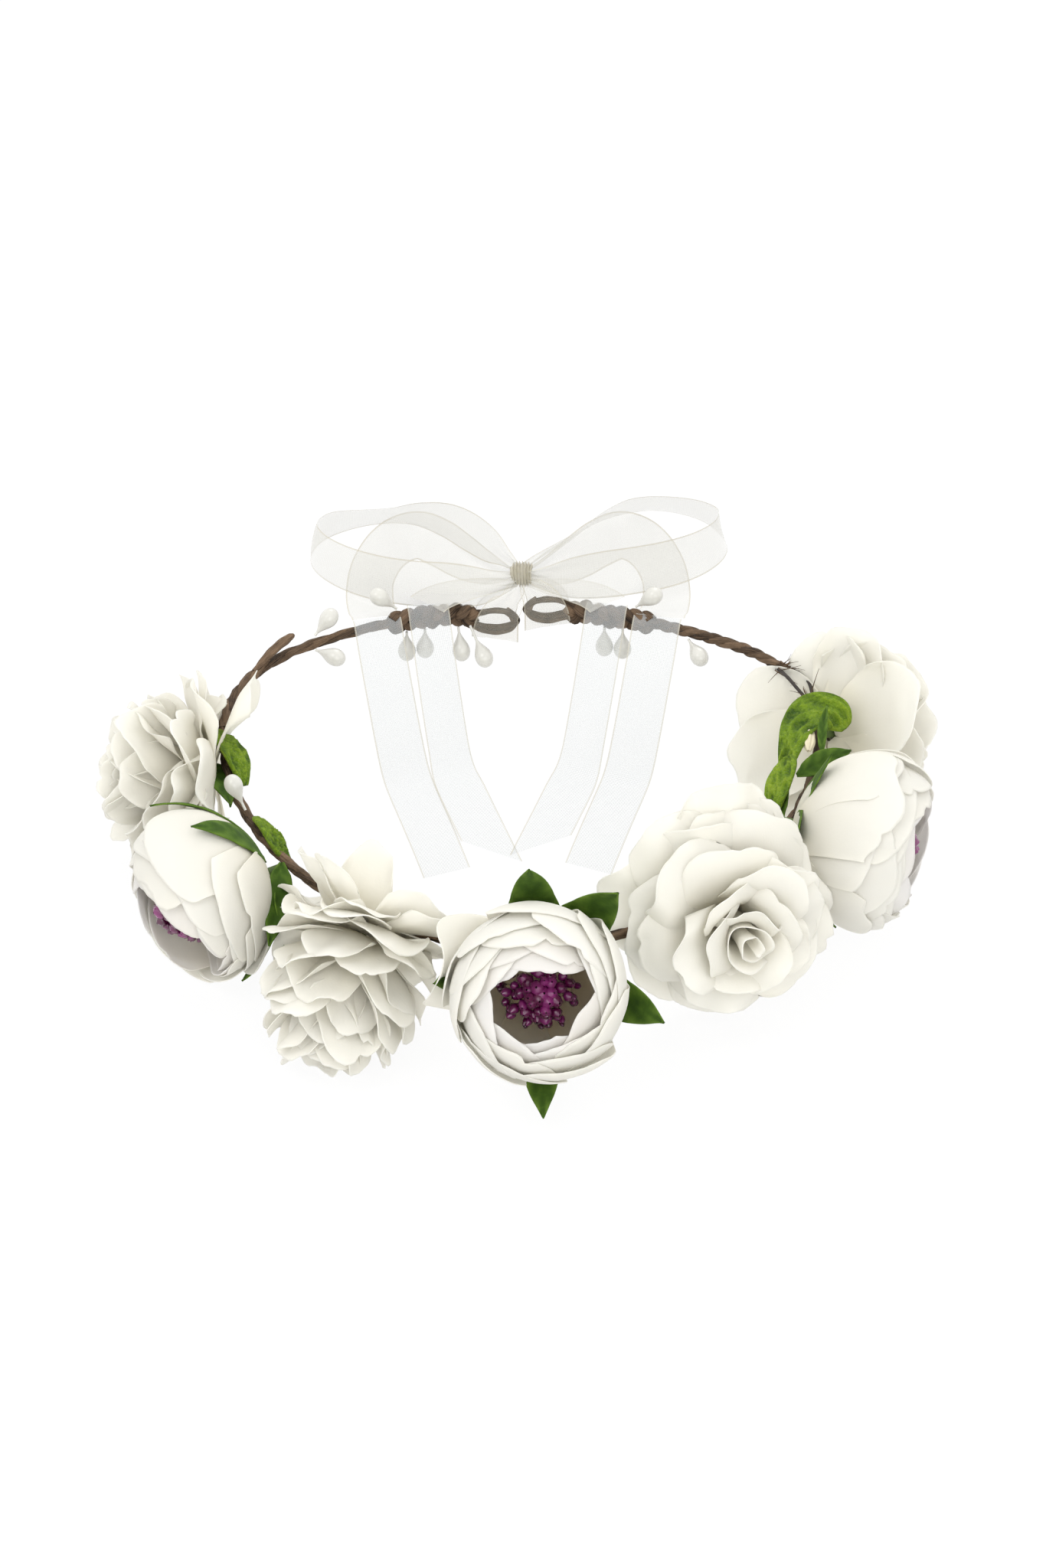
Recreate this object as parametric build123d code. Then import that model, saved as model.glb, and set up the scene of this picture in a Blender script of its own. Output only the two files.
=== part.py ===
from build123d import *
import math
import os

# Flower crown for an adult head.  Millimetres, +Z up.
# The origin is the centre of the head opening, in the plane of the wire vine.
# +X points right as seen from the front, and +Y towards the tied back.

# ---- driving dimensions -------------------------------------------------------------
HALF_WIDTH = 90.0           # head opening, half of its width between the vine's centres
BACK_DEPTH = 60.0           # from the origin to the tied back
FRONT_DEPTH = 104.0         # from the origin to the middle of the front
BACK_CORNER_RADIUS = 48.0
FRONT_CORNER_RADIUS = 112.0
FLOOR_Z = -33.0             # the surface that the petals rest on

WIRE_RADIUS = 0.55          # each of the two steel wires inside the vine
WIRE_OFFSET = 0.65          # half the distance between the two wires
PAPER_RADIUS = 2.0          # brown paper wound over the wires
PAPER_BORE = 1.3
BRAID_RADIUS = 3.7          # the thick plaited stretch at each end of the vine
END_LOOP_TUBE = 1.3         # strand radius of the eye at each end
END_LOOP_LENGTH = 19.0
END_LOOP_HEIGHT = 9.0
VINE_CLEARANCE = 2.3        # radius kept free round the vine by petals and felt

BRAID_START_X = 38.0        # where paper turns into braid, each side of the middle
BRAID_END_X = 17.0          # where the braid turns into its eye
FRAYED_END_ANGLE = 40.0     # right-hand paper stops here, and two bare wires run on
RIGHT_TWIG_ANGLE = 17.0     # the front paper starts again under the felt

RIBBON_WIDTH = 15.0
RIBBON_THICKNESS = 0.5
INNER_TAIL_WIDTH = 13.0     # the inner tails lie cupped across their width
TAIL_SLOPE = 45.0           # degrees below the horizontal, from the vine to the floor

PETAL_THICKNESS = 1.0
HUB_RADIUS = 5.0            # where the petals of one layer join round the stem
STEM_RADIUS = 1.5
STEM_HOLE = 1.6
STEM_HOLE_DEPTH = 120.0     # longer than any flower
GLOBE_RADIUS = 25.0         # ranunculus
LEAF_THICKNESS = 0.8
ROUND_PETAL = 0.45          # radius of one rose petal, as a share of its layer's radius
PETAL_REACH = 0.56          # how far out that petal's centre lies, as the same share

# ---- the seven flowers: base point, the way the flower faces, size --------------------
# name: (base x, y, z, azimuth, elevation, outer radius, how far the rim bends back)
ROSES = {
    "rose_left_back": (-92.5, -20.0, -3.0, 180.0, 0.0, 30.0, 6.0),
    "rose_front_left": (-47.0, -94.0, -3.5, 245.0, -42.0, 28.0, 10.0),
    "rose_front_right": (59.0, -86.0, -0.5, -72.0, 14.0, 33.0, 4.0),
    "rose_right_back": (93.0, 6.0, -6.0, 46.0, -29.0, 30.0, 8.0),
}
# name: (base x, y, z, azimuth, elevation)
RANUNCULI = {
    "ranunculus_left": (-76.0, -66.5, -3.0, 200.0, -10.0),
    "ranunculus_front": (5.0, -108.5, -7.0, -90.0, 27.0),
    "ranunculus_right": (82.5, -48.5, 1.5, -12.0, -5.0),
}

# rings of stamens: how many, radius at the foot and at the bead, height of the bead
STAMEN_RINGS = [
    (1, 0.0, 0.0, 29.0),
    (6, 2.2, 5.0, 28.0),
    (12, 4.4, 9.5, 25.0),
]
STAMEN_FOOT_Z = 11.0
STALK_RADIUS = 0.3
BEAD_RADIUS = 1.6

# plan outline of one pointed leaf, from the stem outwards
LEAF_OUTLINE = [(0, -4), (12, -6), (22.5, 0), (12, 6), (0, 4)]

# felt pads glued over the flower wires: centre, azimuth and tilt of the face, size
FELT_THICKNESS = 2.0
FELT_PADS = {
    "felt_pad_left_upper": (-83.5, -13.0, 2.5, 0.0, 45.0, 22.0, 13.0),
    "felt_pad_left_lower": (-75.0, -52.0, 2.5, 30.0, 45.0, 20.0, 11.0),
    "felt_pad_right_upper": (83.0, 7.0, 4.6, 190.0, 72.0, 23.0, 16.0),
    "felt_pad_right_lower": (80.5, -26.0, 2.5, 170.0, 45.0, 24.0, 9.0),
}

# berries: x of the root on the back of the vine, azimuth, elevation, stem length
BERRY_RADIUS = 2.75
BERRY_LENGTH = 9.0
BERRY_STEM_RADIUS = 0.4
BACK_BERRIES = [
    (-66.0, 40.0, 35.0, 5.5),
    (-66.0, -20.0, -10.0, 4.0),
    (-33.5, 180.0, 40.0, 7.5),
    (-35.3, -90.0, -85.0, 5.5),
    (-29.7, -90.0, -85.0, 5.5),
    (-20.0, -75.0, -60.0, 6.0),
    (-17.5, -60.0, -38.0, 9.5),
    (25.6, -90.0, -85.0, 5.5),
    (31.2, -90.0, -85.0, 5.5),
    (30.0, 0.0, 38.0, 7.5),
    (49.5, -60.0, -20.0, 5.0),
]
FRONT_BERRY = (-80.9, -44.5, 0.0, 130.0, 48.0, 6.0)

# ---- ribbon bow ----------------------------------------------------------------------
KNOT_RADIUS = 3.8
KNOT_Y = 62.5
KNOT_Z = 12.0
LOOP_END_X = 50.0           # centre of the round end of each bow loop
LOOP_END_Y = 78.0
LOOP_END_RADIUS = 14.0
LOOP_TOP_Z = 15.5
LOOP_KNOT_HALF_HEIGHT = 3.0
LOOP_INNER_X = 4.6
EAR_Z = -2.4                # the two ears lie flat, just under the loops
EAR_CENTRE_X = 31.0
EAR_CENTRE_Y = 76.0
EAR_INNER_RADIUS = 6.0
EAR_FRONT_Y = 60.5
BAND_HALF_HEIGHT = 5.1      # inside of the ribbon wrapped round each eye
BAND_HALF_DEPTH = 1.8
LEFT_EYE_Z = -3.5
RIGHT_EYE_Z = 0.8

# tails: crossing x, plan angle towards the middle, floor length, cut, width, clearance
TAILS = {
    "ribbon_tail_left_outer": (-44.5, 14.0, 44.0, 2.0, RIBBON_WIDTH, 5.0),
    "ribbon_tail_left_inner": (-29.0, 12.0, 45.0, -17.0, INNER_TAIL_WIDTH, 5.0),
    "ribbon_tail_right_inner": (26.5, -14.5, 43.0, 17.0, INNER_TAIL_WIDTH, 5.0),
    "ribbon_tail_right_outer": (42.0, -14.0, 43.0, -2.0, RIBBON_WIDTH, 5.0),
}


# ---- the oval of the vine --------------------------------------------------------------
def main_arc(depth, corner_radius):
    """Radius of the arc that closes a quadrant of the oval between its two corner arcs."""
    top = HALF_WIDTH ** 2 + depth ** 2 - 2.0 * HALF_WIDTH * corner_radius
    return top / (2.0 * (depth - corner_radius))


BACK_RADIUS = main_arc(BACK_DEPTH, BACK_CORNER_RADIUS)
FRONT_RADIUS = main_arc(FRONT_DEPTH, FRONT_CORNER_RADIUS)
BACK_CENTRE = (0.0, BACK_DEPTH - BACK_RADIUS)
FRONT_CENTRE = (0.0, FRONT_RADIUS - FRONT_DEPTH)
BACK_CORNER_X = HALF_WIDTH - BACK_CORNER_RADIUS
FRONT_CORNER_X = HALF_WIDTH - FRONT_CORNER_RADIUS
BACK_MEET = math.degrees(math.atan2(-BACK_CENTRE[1], BACK_CORNER_X))
FRONT_MEET = math.degrees(math.atan2(-FRONT_CENTRE[1], -FRONT_CORNER_X))

# each arc: centre x, centre y, radius
BACK_ARC = (0.0, BACK_CENTRE[1], BACK_RADIUS)
FRONT_ARC = (0.0, FRONT_CENTRE[1], FRONT_RADIUS)
LEFT_BACK_ARC = (-BACK_CORNER_X, 0.0, BACK_CORNER_RADIUS)
RIGHT_BACK_ARC = (BACK_CORNER_X, 0.0, BACK_CORNER_RADIUS)
LEFT_FRONT_ARC = (-FRONT_CORNER_X, 0.0, FRONT_CORNER_RADIUS)
RIGHT_FRONT_ARC = (FRONT_CORNER_X, 0.0, FRONT_CORNER_RADIUS)


def back_angle(x):
    """Angle on the back arc at which the vine passes x."""
    return 90.0 - math.degrees(math.asin(x / BACK_RADIUS))


def back_y(x):
    """The vine's y where it passes x on the back arc."""
    return BACK_CENTRE[1] + math.sqrt(BACK_RADIUS ** 2 - x ** 2)


LEFT_PAPER = [
    (BACK_ARC, back_angle(-BRAID_START_X), 180.0 - BACK_MEET),
    (LEFT_BACK_ARC, 180.0 - BACK_MEET, 180.0),
]
FRONT_PAPER = [
    (LEFT_FRONT_ARC, 180.0, 180.0 + FRONT_MEET),
    (FRONT_ARC, 180.0 + FRONT_MEET, 360.0 - FRONT_MEET),
    (RIGHT_FRONT_ARC, -FRONT_MEET, 0.0),
    (RIGHT_BACK_ARC, 0.0, RIGHT_TWIG_ANGLE),
]
RIGHT_PAPER = [
    (RIGHT_BACK_ARC, FRAYED_END_ANGLE, BACK_MEET),
    (BACK_ARC, BACK_MEET, back_angle(BRAID_START_X)),
]
BARE_GAP = [(RIGHT_BACK_ARC, RIGHT_TWIG_ANGLE, FRAYED_END_ANGLE)]
WIRE_RUN = LEFT_PAPER + FRONT_PAPER + BARE_GAP + RIGHT_PAPER


def tube(run, outer, inner=0.0, sideways=0.0):
    """A round tube along a run of tangent arcs; sideways shifts it in the oval's plane."""
    spans = []
    for (centre_x, centre_y, radius), start, end in run:
        angle = math.radians(start)
        radial = Vector(math.cos(angle), math.sin(angle), 0.0)
        tangent = Vector(-math.sin(angle), math.cos(angle), 0.0)
        origin = Vector(centre_x, centre_y, 0.0) + radial * (radius + sideways)
        section = Circle(outer)
        if inner:
            section = section - Circle(inner)
        placed = Plane(origin, x_dir=radial, z_dir=tangent) * section
        spans.append(revolve(placed, Axis((centre_x, centre_y, 0.0), (0, 0, 1)), end - start))
    whole = spans[0]
    for span in spans[1:]:
        whole = whole + span
    return whole


# ---- vine ------------------------------------------------------------------------------
def frame_wire():
    """Two steel wires side by side, inside the paper all the way round."""
    return [tube(WIRE_RUN, WIRE_RADIUS, sideways=side * WIRE_OFFSET) for side in (-1, 1)]


def end_loop(side, eye_z):
    """The eye that the braid is bent into: a slender closed ring standing on edge."""
    bend = END_LOOP_HEIGHT / 2.0 - END_LOOP_TUBE
    half_run = END_LOOP_LENGTH / 2.0 - END_LOOP_TUBE - bend
    middle_x = side * (END_LOOP_LENGTH / 2.0 + 0.6)
    strand = Plane.YZ * (Pos(0, bend) * Circle(END_LOOP_TUBE))
    ring = extrude(strand, half_run, both=True)
    ring = ring + ring.rotate(Axis.X, 180.0)
    for turn in (0.0, 180.0):
        cap = revolve(strand, Axis.Y, 180.0)
        ring = ring + (Pos(half_run, 0, 0) * cap).rotate(Axis.Z, turn)
    return Pos(middle_x, back_y(middle_x), eye_z) * ring


def braid(side, eye):
    """Thick plaited stretch between the paper-wound vine and its eye."""
    angles = sorted((back_angle(side * BRAID_START_X), back_angle(side * BRAID_END_X)))
    return tube([(BACK_ARC, angles[0], angles[1])], BRAID_RADIUS) - eye


# ---- flowers ---------------------------------------------------------------------------
def facing(azimuth, elevation, x, y, z):
    """Turns a flower made along +Z to face a direction, with its base at a point."""
    return Pos(x, y, z) * Rot(0, 0, azimuth) * Rot(0, 90.0 - elevation, 0)


def stem_bore():
    return Cylinder(STEM_HOLE, STEM_HOLE_DEPTH)


def rosette(count, radius, spin):
    """Plan outline of one layer: round petals about a hub."""
    outline = Circle(HUB_RADIUS + 1.0)
    for petal in range(count):
        place = Rot(0, 0, spin + petal * 360.0 / count) * Pos(PETAL_REACH * radius, 0)
        outline = outline + place * Circle(ROUND_PETAL * radius)
    return outline


def petal_layer(count, hub_z, rim_radius, rim_z, bulge, spin):
    """One die-cut layer of petals, dished between its hub and its rim."""
    middle = ((HUB_RADIUS + rim_radius) / 2.0, (hub_z + rim_z) / 2.0 + bulge)
    top = PETAL_THICKNESS
    edges = [
        Line((STEM_HOLE, hub_z), (HUB_RADIUS, hub_z)),
        ThreePointArc((HUB_RADIUS, hub_z), middle, (rim_radius, rim_z)),
        Line((rim_radius, rim_z), (rim_radius, rim_z + top)),
        ThreePointArc((rim_radius, rim_z + top), (middle[0], middle[1] + top),
                      (HUB_RADIUS, hub_z + top)),
        Line((HUB_RADIUS, hub_z + top), (STEM_HOLE, hub_z + top)),
        Line((STEM_HOLE, hub_z + top), (STEM_HOLE, hub_z)),
    ]
    dish = revolve(Plane.XZ * make_face(edges), Axis.Z)
    return dish & extrude(rosette(count, rim_radius, spin), 60.0, both=True)


def rose(name, vine_space):
    """Three petal layers threaded on a wire stem."""
    x, y, z, azimuth, elevation, radius, reflex = ROSES[name]
    place = facing(azimuth, elevation, x, y, z)
    outer = petal_layer(6, 0.0, radius, -reflex, 1.5, 10.0)
    middle = petal_layer(5, 4.0, 0.85 * radius, 15.0, -2.5, 30.0)
    inner = petal_layer(5, 8.0, 0.5 * radius, 28.0, -3.0, 0.0)
    stem = Pos(0, 0, 4.0) * Cylinder(STEM_RADIUS, 13.0)
    return {
        name + "_outer_petals": place * outer - vine_space,
        name + "_middle_petals": place * middle - vine_space,
        name + "_inner_petals": place * inner,
        name + "_stem": place * stem - vine_space,
    }


def globe_layer(radius, opening_z):
    """One cupped layer of a ranunculus: a thin globe, open at the front."""
    centre = Pos(0, 0, GLOBE_RADIUS)
    shell = centre * Sphere(radius) - centre * Sphere(radius - PETAL_THICKNESS)
    size = 4.0 * GLOBE_RADIUS
    above = Pos(0, 0, opening_z + size / 2.0) * Box(size, size, size)
    return shell - above - stem_bore()


def sepals():
    """Five pointed green leaves lying on the back of the globe."""
    centre = Pos(0, 0, GLOBE_RADIUS)
    inner_radius = GLOBE_RADIUS + 0.4
    shell = centre * Sphere(inner_radius + LEAF_THICKNESS) - centre * Sphere(inner_radius)
    outline = Circle(HUB_RADIUS)
    for leaf in range(5):
        blade = Polyline(*LEAF_OUTLINE, close=True)
        outline = outline + Rot(0, 0, 90.0 + leaf * 72.0) * make_face(blade)
    return (shell & extrude(outline, GLOBE_RADIUS)) - stem_bore()


def stamens():
    """A cluster of purple beads on fine stalks."""
    pieces = []
    for count, foot, spread, height in STAMEN_RINGS:
        start = Vector(foot, 0, STAMEN_FOOT_Z)
        end = Vector(spread, 0, height)
        stalk = extrude(Plane(start, z_dir=end - start) * Circle(STALK_RADIUS), (end - start).length)
        stamen = stalk + Pos(*end) * Sphere(BEAD_RADIUS)
        for index in range(count):
            pieces.append(Rot(0, 0, index * 360.0 / count) * stamen)
    return pieces


def ranunculus(name, vine_space):
    """Three nested globes of petals round a head of stamens, on five leaves."""
    x, y, z, azimuth, elevation = RANUNCULI[name]
    place = facing(azimuth, elevation, x, y, z)
    stem = Pos(0, 0, 2.0) * Cylinder(STEM_RADIUS, 14.0)
    return {
        name + "_outer_petals": place * globe_layer(GLOBE_RADIUS, 36.0),
        name + "_middle_petals": place * globe_layer(GLOBE_RADIUS - 2.5, 37.5),
        name + "_inner_petals": place * globe_layer(GLOBE_RADIUS - 5.0, 37.0),
        name + "_stamens": [place * piece for piece in stamens()],
        name + "_leaves": place * sepals() - vine_space,
        name + "_stem": place * stem - vine_space,
    }


# ---- felt, berries and bud ---------------------------------------------------------------
def felt_pad(name):
    x, y, z, azimuth, tilt, length, width = FELT_PADS[name]
    blank = extrude(Ellipse(width / 2.0, length / 2.0), FELT_THICKNESS)
    return Pos(x, y, z) * Rot(0, 0, azimuth) * Rot(0, 90.0 - tilt, 0) * blank


def berry(root, azimuth, elevation, stem_length, clearance):
    """A moulded teardrop on a fine stem, starting clear of what it is tied to."""
    profile = [
        Line((0, stem_length), (BERRY_STEM_RADIUS, stem_length)),
        Spline(
            (BERRY_STEM_RADIUS, stem_length),
            (0.8 * BERRY_RADIUS, stem_length + 0.4 * BERRY_LENGTH),
            (BERRY_RADIUS, stem_length + 0.67 * BERRY_LENGTH),
            (0, stem_length + BERRY_LENGTH),
            tangents=[(0.3, 1.0), (-1.0, 0.0)],
        ),
        Line((0, stem_length + BERRY_LENGTH), (0, stem_length)),
    ]
    drop = revolve(Plane.XZ * make_face(profile), Axis.Z)
    stem = Pos(0, 0, (clearance + stem_length) / 2.0) * Cylinder(
        BERRY_STEM_RADIUS, stem_length - clearance)
    return facing(azimuth, elevation, *root) * (drop + stem)


def way_out(radius, along, azimuth, elevation):
    """Length of a stem inside a tube, from its centre line to just outside it."""
    turn = math.radians(azimuth - along)
    rise = math.radians(elevation)
    across = math.sqrt(1.0 - (math.cos(turn) * math.cos(rise)) ** 2)
    return (radius + 0.5) / across


def berries():
    pieces = []
    for x, azimuth, elevation, stem_length in BACK_BERRIES:
        radius = BRAID_RADIUS if abs(x) <= BRAID_START_X else PAPER_RADIUS
        clearance = way_out(radius, back_angle(x) - 90.0, azimuth, elevation)
        pieces.append(berry((x, back_y(x), 0.0), azimuth, elevation, stem_length, clearance))
    x, y, z, azimuth, elevation, stem_length = FRONT_BERRY
    clearance = way_out(PAPER_RADIUS, -FRONT_MEET, azimuth, elevation)
    pieces.append(berry((x, y, z), azimuth, elevation, stem_length, clearance))
    return pieces


def white_bud():
    """A ridged cream bud lying along the vine."""
    ridged = Circle(1.5)
    for ridge in range(7):
        ridged = ridged + Rot(0, 0, ridge * 360.0 / 7.0) * Pos(1.3, 0) * Circle(0.45)
    rod = extrude(ridged, 5.0, both=True)
    body = rod & Sphere(5.2)
    return Pos(86.3, -11.0, 4.4) * Rot(90.0, 0, 3.0) * body


# ---- ribbon --------------------------------------------------------------------------------
def ribbon_band(side, eye_z):
    """Ribbon passed round an eye of the vine."""
    half_length = 6.5
    middle_x = side * (half_length + 1.2)
    wall = 2.0 * RIBBON_THICKNESS
    outer = Box(2.0 * half_length, 2.0 * BAND_HALF_DEPTH + wall, 2.0 * BAND_HALF_HEIGHT + wall)
    inner = Box(3.0 * half_length, 2.0 * BAND_HALF_DEPTH, 2.0 * BAND_HALF_HEIGHT)
    return Pos(middle_x, back_y(middle_x), eye_z) * (outer - inner)


def bow_loop(side):
    """A teardrop loop of ribbon on edge, gathered into the knot."""
    def teardrop(shrink):
        round_end = Pos(side * LOOP_END_X, LOOP_END_Y) * Circle(LOOP_END_RADIUS - shrink)
        reach = Vector(side * LOOP_END_X, LOOP_END_Y - KNOT_Y)
        bearing = math.atan2(reach.Y, reach.X)
        spread = math.acos((LOOP_END_RADIUS - shrink) / reach.length)
        corners = []
        for turn in (spread, -spread):
            angle = bearing + math.pi + turn
            corners.append((
                side * LOOP_END_X + (LOOP_END_RADIUS - shrink) * math.cos(angle),
                LOOP_END_Y + (LOOP_END_RADIUS - shrink) * math.sin(angle),
            ))
        wedge = make_face(Polyline((0, KNOT_Y), corners[0], corners[1], close=True))
        return round_end + wedge

    band = extrude(teardrop(0.0) - teardrop(RIBBON_THICKNESS), LOOP_TOP_Z + 1.0)
    far_x = side * (LOOP_END_X + LOOP_END_RADIUS + 1.0)
    near_x = side * LOOP_INNER_X
    height = make_face(Polyline(
        (near_x, KNOT_Z - LOOP_KNOT_HALF_HEIGHT),
        (far_x, 0.0),
        (far_x, LOOP_TOP_Z),
        (near_x, KNOT_Z + LOOP_KNOT_HALF_HEIGHT),
        close=True,
    ))
    return band & extrude(Plane.XZ * height, 120.0, both=True)


def bow_ear(side):
    """Ribbon lying flat, curving from behind the knot round to the vine."""
    centre = Pos(side * EAR_CENTRE_X, EAR_CENTRE_Y)
    outer_radius = EAR_INNER_RADIUS + RIBBON_WIDTH
    ring = centre * Circle(outer_radius) - centre * Circle(EAR_INNER_RADIUS)
    upper = Pos(side * (EAR_CENTRE_X + 5.0), EAR_CENTRE_Y + 30.0) * Rectangle(50.0, 60.0)
    straight_x = side * (EAR_CENTRE_X + EAR_INNER_RADIUS + RIBBON_WIDTH / 2.0)
    run = EAR_CENTRE_Y - EAR_FRONT_Y
    straight = Pos(straight_x, EAR_FRONT_Y + run / 2.0) * Rectangle(RIBBON_WIDTH, run)
    flat = extrude((ring & upper) + straight, RIBBON_THICKNESS)
    inner_x = side * (EAR_CENTRE_X - EAR_INNER_RADIUS - RIBBON_WIDTH / 2.0)
    foot = Plane((inner_x, EAR_CENTRE_Y, RIBBON_THICKNESS / 2.0), x_dir=(1, 0, 0), z_dir=(0, -1, 0))
    head = Plane((side * 2.8, KNOT_Y + KNOT_RADIUS + 1.3, KNOT_Z - 0.5 - EAR_Z),
                 x_dir=(1, 0, 0), z_dir=(0, -1, 0))
    riser = loft(
        [foot * Rectangle(RIBBON_WIDTH, RIBBON_THICKNESS), head * Rectangle(3.0, 1.0)],
        ruled=True,
    )
    return Pos(0, 0, EAR_Z) * (flat + riser)


def ribbon_tail(name):
    """From the vine down a slope to the floor, then along it to the cut end."""
    x, plan_angle, floor_length, cut, width, clearance = TAILS[name]
    slope = math.radians(TAIL_SLOPE)
    start = (-clearance * math.sin(slope), clearance * math.cos(slope))
    drop = start[1] - FLOOR_Z
    foot = (start[0] - drop / math.tan(slope), FLOOR_Z)
    thick_y = RIBBON_THICKNESS * math.sin(slope)
    thick_z = RIBBON_THICKNESS * math.cos(slope)
    bend = RIBBON_THICKNESS * math.tan(slope / 2.0)
    side_view = Polyline(
        start,
        foot,
        (foot[0] - floor_length, FLOOR_Z),
        (foot[0] - floor_length, FLOOR_Z + RIBBON_THICKNESS),
        (foot[0] - bend, FLOOR_Z + RIBBON_THICKNESS),
        (start[0] - thick_y, start[1] + thick_z),
        close=True,
    )
    strip = extrude(Plane.YZ * make_face(side_view), width / 2.0, both=True)
    end_y = foot[0] - floor_length
    snip = make_face(Polyline(
        (-width, end_y - 1.0), (width, end_y - 1.0),
        (width, end_y + max(0.0, 2.0 * cut)), (-width, end_y + max(0.0, -2.0 * cut)),
        close=True,
    ))
    strip = strip - Pos(0, 0, FLOOR_Z - 1.0) * extrude(snip, 3.0)
    return Pos(x, back_y(x), 0.0) * Rot(0, 0, plan_angle) * strip


# ---- the whole crown -------------------------------------------------------------------------
def build_nodes():
    left_eye = end_loop(-1, LEFT_EYE_Z)
    right_eye = end_loop(1, RIGHT_EYE_Z)
    vine_space = tube(WIRE_RUN, VINE_CLEARANCE)
    nodes = {
        "frame_wire": frame_wire(),
        "paper_wrap_left": tube(LEFT_PAPER, PAPER_RADIUS, PAPER_BORE),
        "paper_wrap_front": tube(FRONT_PAPER, PAPER_RADIUS, PAPER_BORE),
        "paper_wrap_right": tube(RIGHT_PAPER, PAPER_RADIUS, PAPER_BORE),
        "braid_left": braid(-1, left_eye),
        "braid_right": braid(1, right_eye),
        "end_loop_left": left_eye,
        "end_loop_right": right_eye,
        "berries": berries(),
        "white_bud": white_bud(),
        "ribbon_band_left": ribbon_band(-1, LEFT_EYE_Z),
        "ribbon_band_right": ribbon_band(1, RIGHT_EYE_Z),
        "ribbon_knot": Pos(0, KNOT_Y, KNOT_Z) * Sphere(KNOT_RADIUS),
        "ribbon_loop_left": bow_loop(-1),
        "ribbon_loop_right": bow_loop(1),
        "ribbon_ear_left": bow_ear(-1),
        "ribbon_ear_right": bow_ear(1),
    }
    for name in ROSES:
        nodes.update(rose(name, vine_space))
    for name in RANUNCULI:
        nodes.update(ranunculus(name, vine_space))
    for name in FELT_PADS:
        nodes[name] = felt_pad(name) - vine_space
    for name in TAILS:
        nodes[name] = ribbon_tail(name)
    return nodes


def main():
    os.makedirs("parts", exist_ok=True)
    for name, shape in build_nodes().items():
        if isinstance(shape, list):
            shape = Compound(children=shape)
        export_step(shape, "parts/" + name + ".step")
        box = shape.bounding_box()
        print(f"{name:34s} x {box.min.X:7.1f} {box.max.X:7.1f}  y {box.min.Y:7.1f} {box.max.Y:7.1f}"
              f"  z {box.min.Z:6.1f} {box.max.Z:6.1f}")


main()
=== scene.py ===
import math
import bpy
import numpy as np
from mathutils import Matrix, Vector


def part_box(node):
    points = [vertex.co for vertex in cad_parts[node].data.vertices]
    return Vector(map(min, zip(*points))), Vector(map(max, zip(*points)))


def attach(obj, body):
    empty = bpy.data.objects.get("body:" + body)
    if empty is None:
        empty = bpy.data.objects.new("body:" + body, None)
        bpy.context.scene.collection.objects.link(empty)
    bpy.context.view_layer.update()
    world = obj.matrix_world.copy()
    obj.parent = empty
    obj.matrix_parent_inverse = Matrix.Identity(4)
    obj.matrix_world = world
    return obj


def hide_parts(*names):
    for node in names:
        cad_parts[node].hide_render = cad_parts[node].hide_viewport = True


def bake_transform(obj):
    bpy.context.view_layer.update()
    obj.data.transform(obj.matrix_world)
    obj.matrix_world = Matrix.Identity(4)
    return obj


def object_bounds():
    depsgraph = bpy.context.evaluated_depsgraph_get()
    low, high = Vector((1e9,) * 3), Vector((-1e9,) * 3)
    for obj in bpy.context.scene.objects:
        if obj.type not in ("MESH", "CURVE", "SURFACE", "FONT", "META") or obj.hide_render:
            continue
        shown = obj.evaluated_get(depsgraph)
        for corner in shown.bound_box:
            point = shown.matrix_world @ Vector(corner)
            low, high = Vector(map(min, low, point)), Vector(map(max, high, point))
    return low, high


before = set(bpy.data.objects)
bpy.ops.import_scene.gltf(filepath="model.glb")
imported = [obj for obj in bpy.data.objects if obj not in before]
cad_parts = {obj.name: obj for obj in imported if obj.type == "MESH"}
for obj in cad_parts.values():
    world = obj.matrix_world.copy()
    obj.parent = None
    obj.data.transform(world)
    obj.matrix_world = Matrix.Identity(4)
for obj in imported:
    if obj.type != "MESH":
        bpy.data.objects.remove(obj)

CAD_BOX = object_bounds()
MM = 0.001
TAU = 2.0 * math.pi
UP = np.array([0.0, 0.0, 1.0])
LAYERS = ("outer", "middle", "inner")

# driving dimensions, mm
FLOOR_Z = CAD_BOX[0][2] / MM
FLOOR_GAP, FLOOR_EASE = 0.6, 1.2    # how near a piece comes to the floor, and how softly
PETAL_THICK, LEAF_THICK = 0.28, 0.45
GLOBE = 25.0                        # radius of a ranunculus's outermost petals
RIBBON, SELVEDGE = 15.0, 0.45       # the ribbon's width, and that of its solid edges
FELT_THICK = 1.9


# ======================================================================================
# Mesh helpers.  A grid is a numpy array of points, of shape (rows, columns, 3).
# ======================================================================================
def unit(vectors):
    length = np.linalg.norm(vectors, axis=-1, keepdims=True)
    return vectors / np.maximum(length, 1e-12)


def smooth(low, high, value):
    """0 below low, 1 above high, and an S-curve between."""
    t = np.clip((value - low) / (high - low), 0.0, 1.0)
    return t * t * (3.0 - 2.0 * t)


def run_of(path):
    """The distance travelled at each point of a path."""
    return np.concatenate([[0], np.cumsum(np.linalg.norm(np.diff(path, axis=0), axis=1))])


def rest_on_floor(points):
    """The same points in mm, eased up where they would go through the floor."""
    low = FLOOR_Z + FLOOR_GAP
    out = np.array(points, float)
    out[..., 2] = low + np.logaddexp(0.0, (out[..., 2] - low) / FLOOR_EASE) * FLOOR_EASE
    return out


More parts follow.
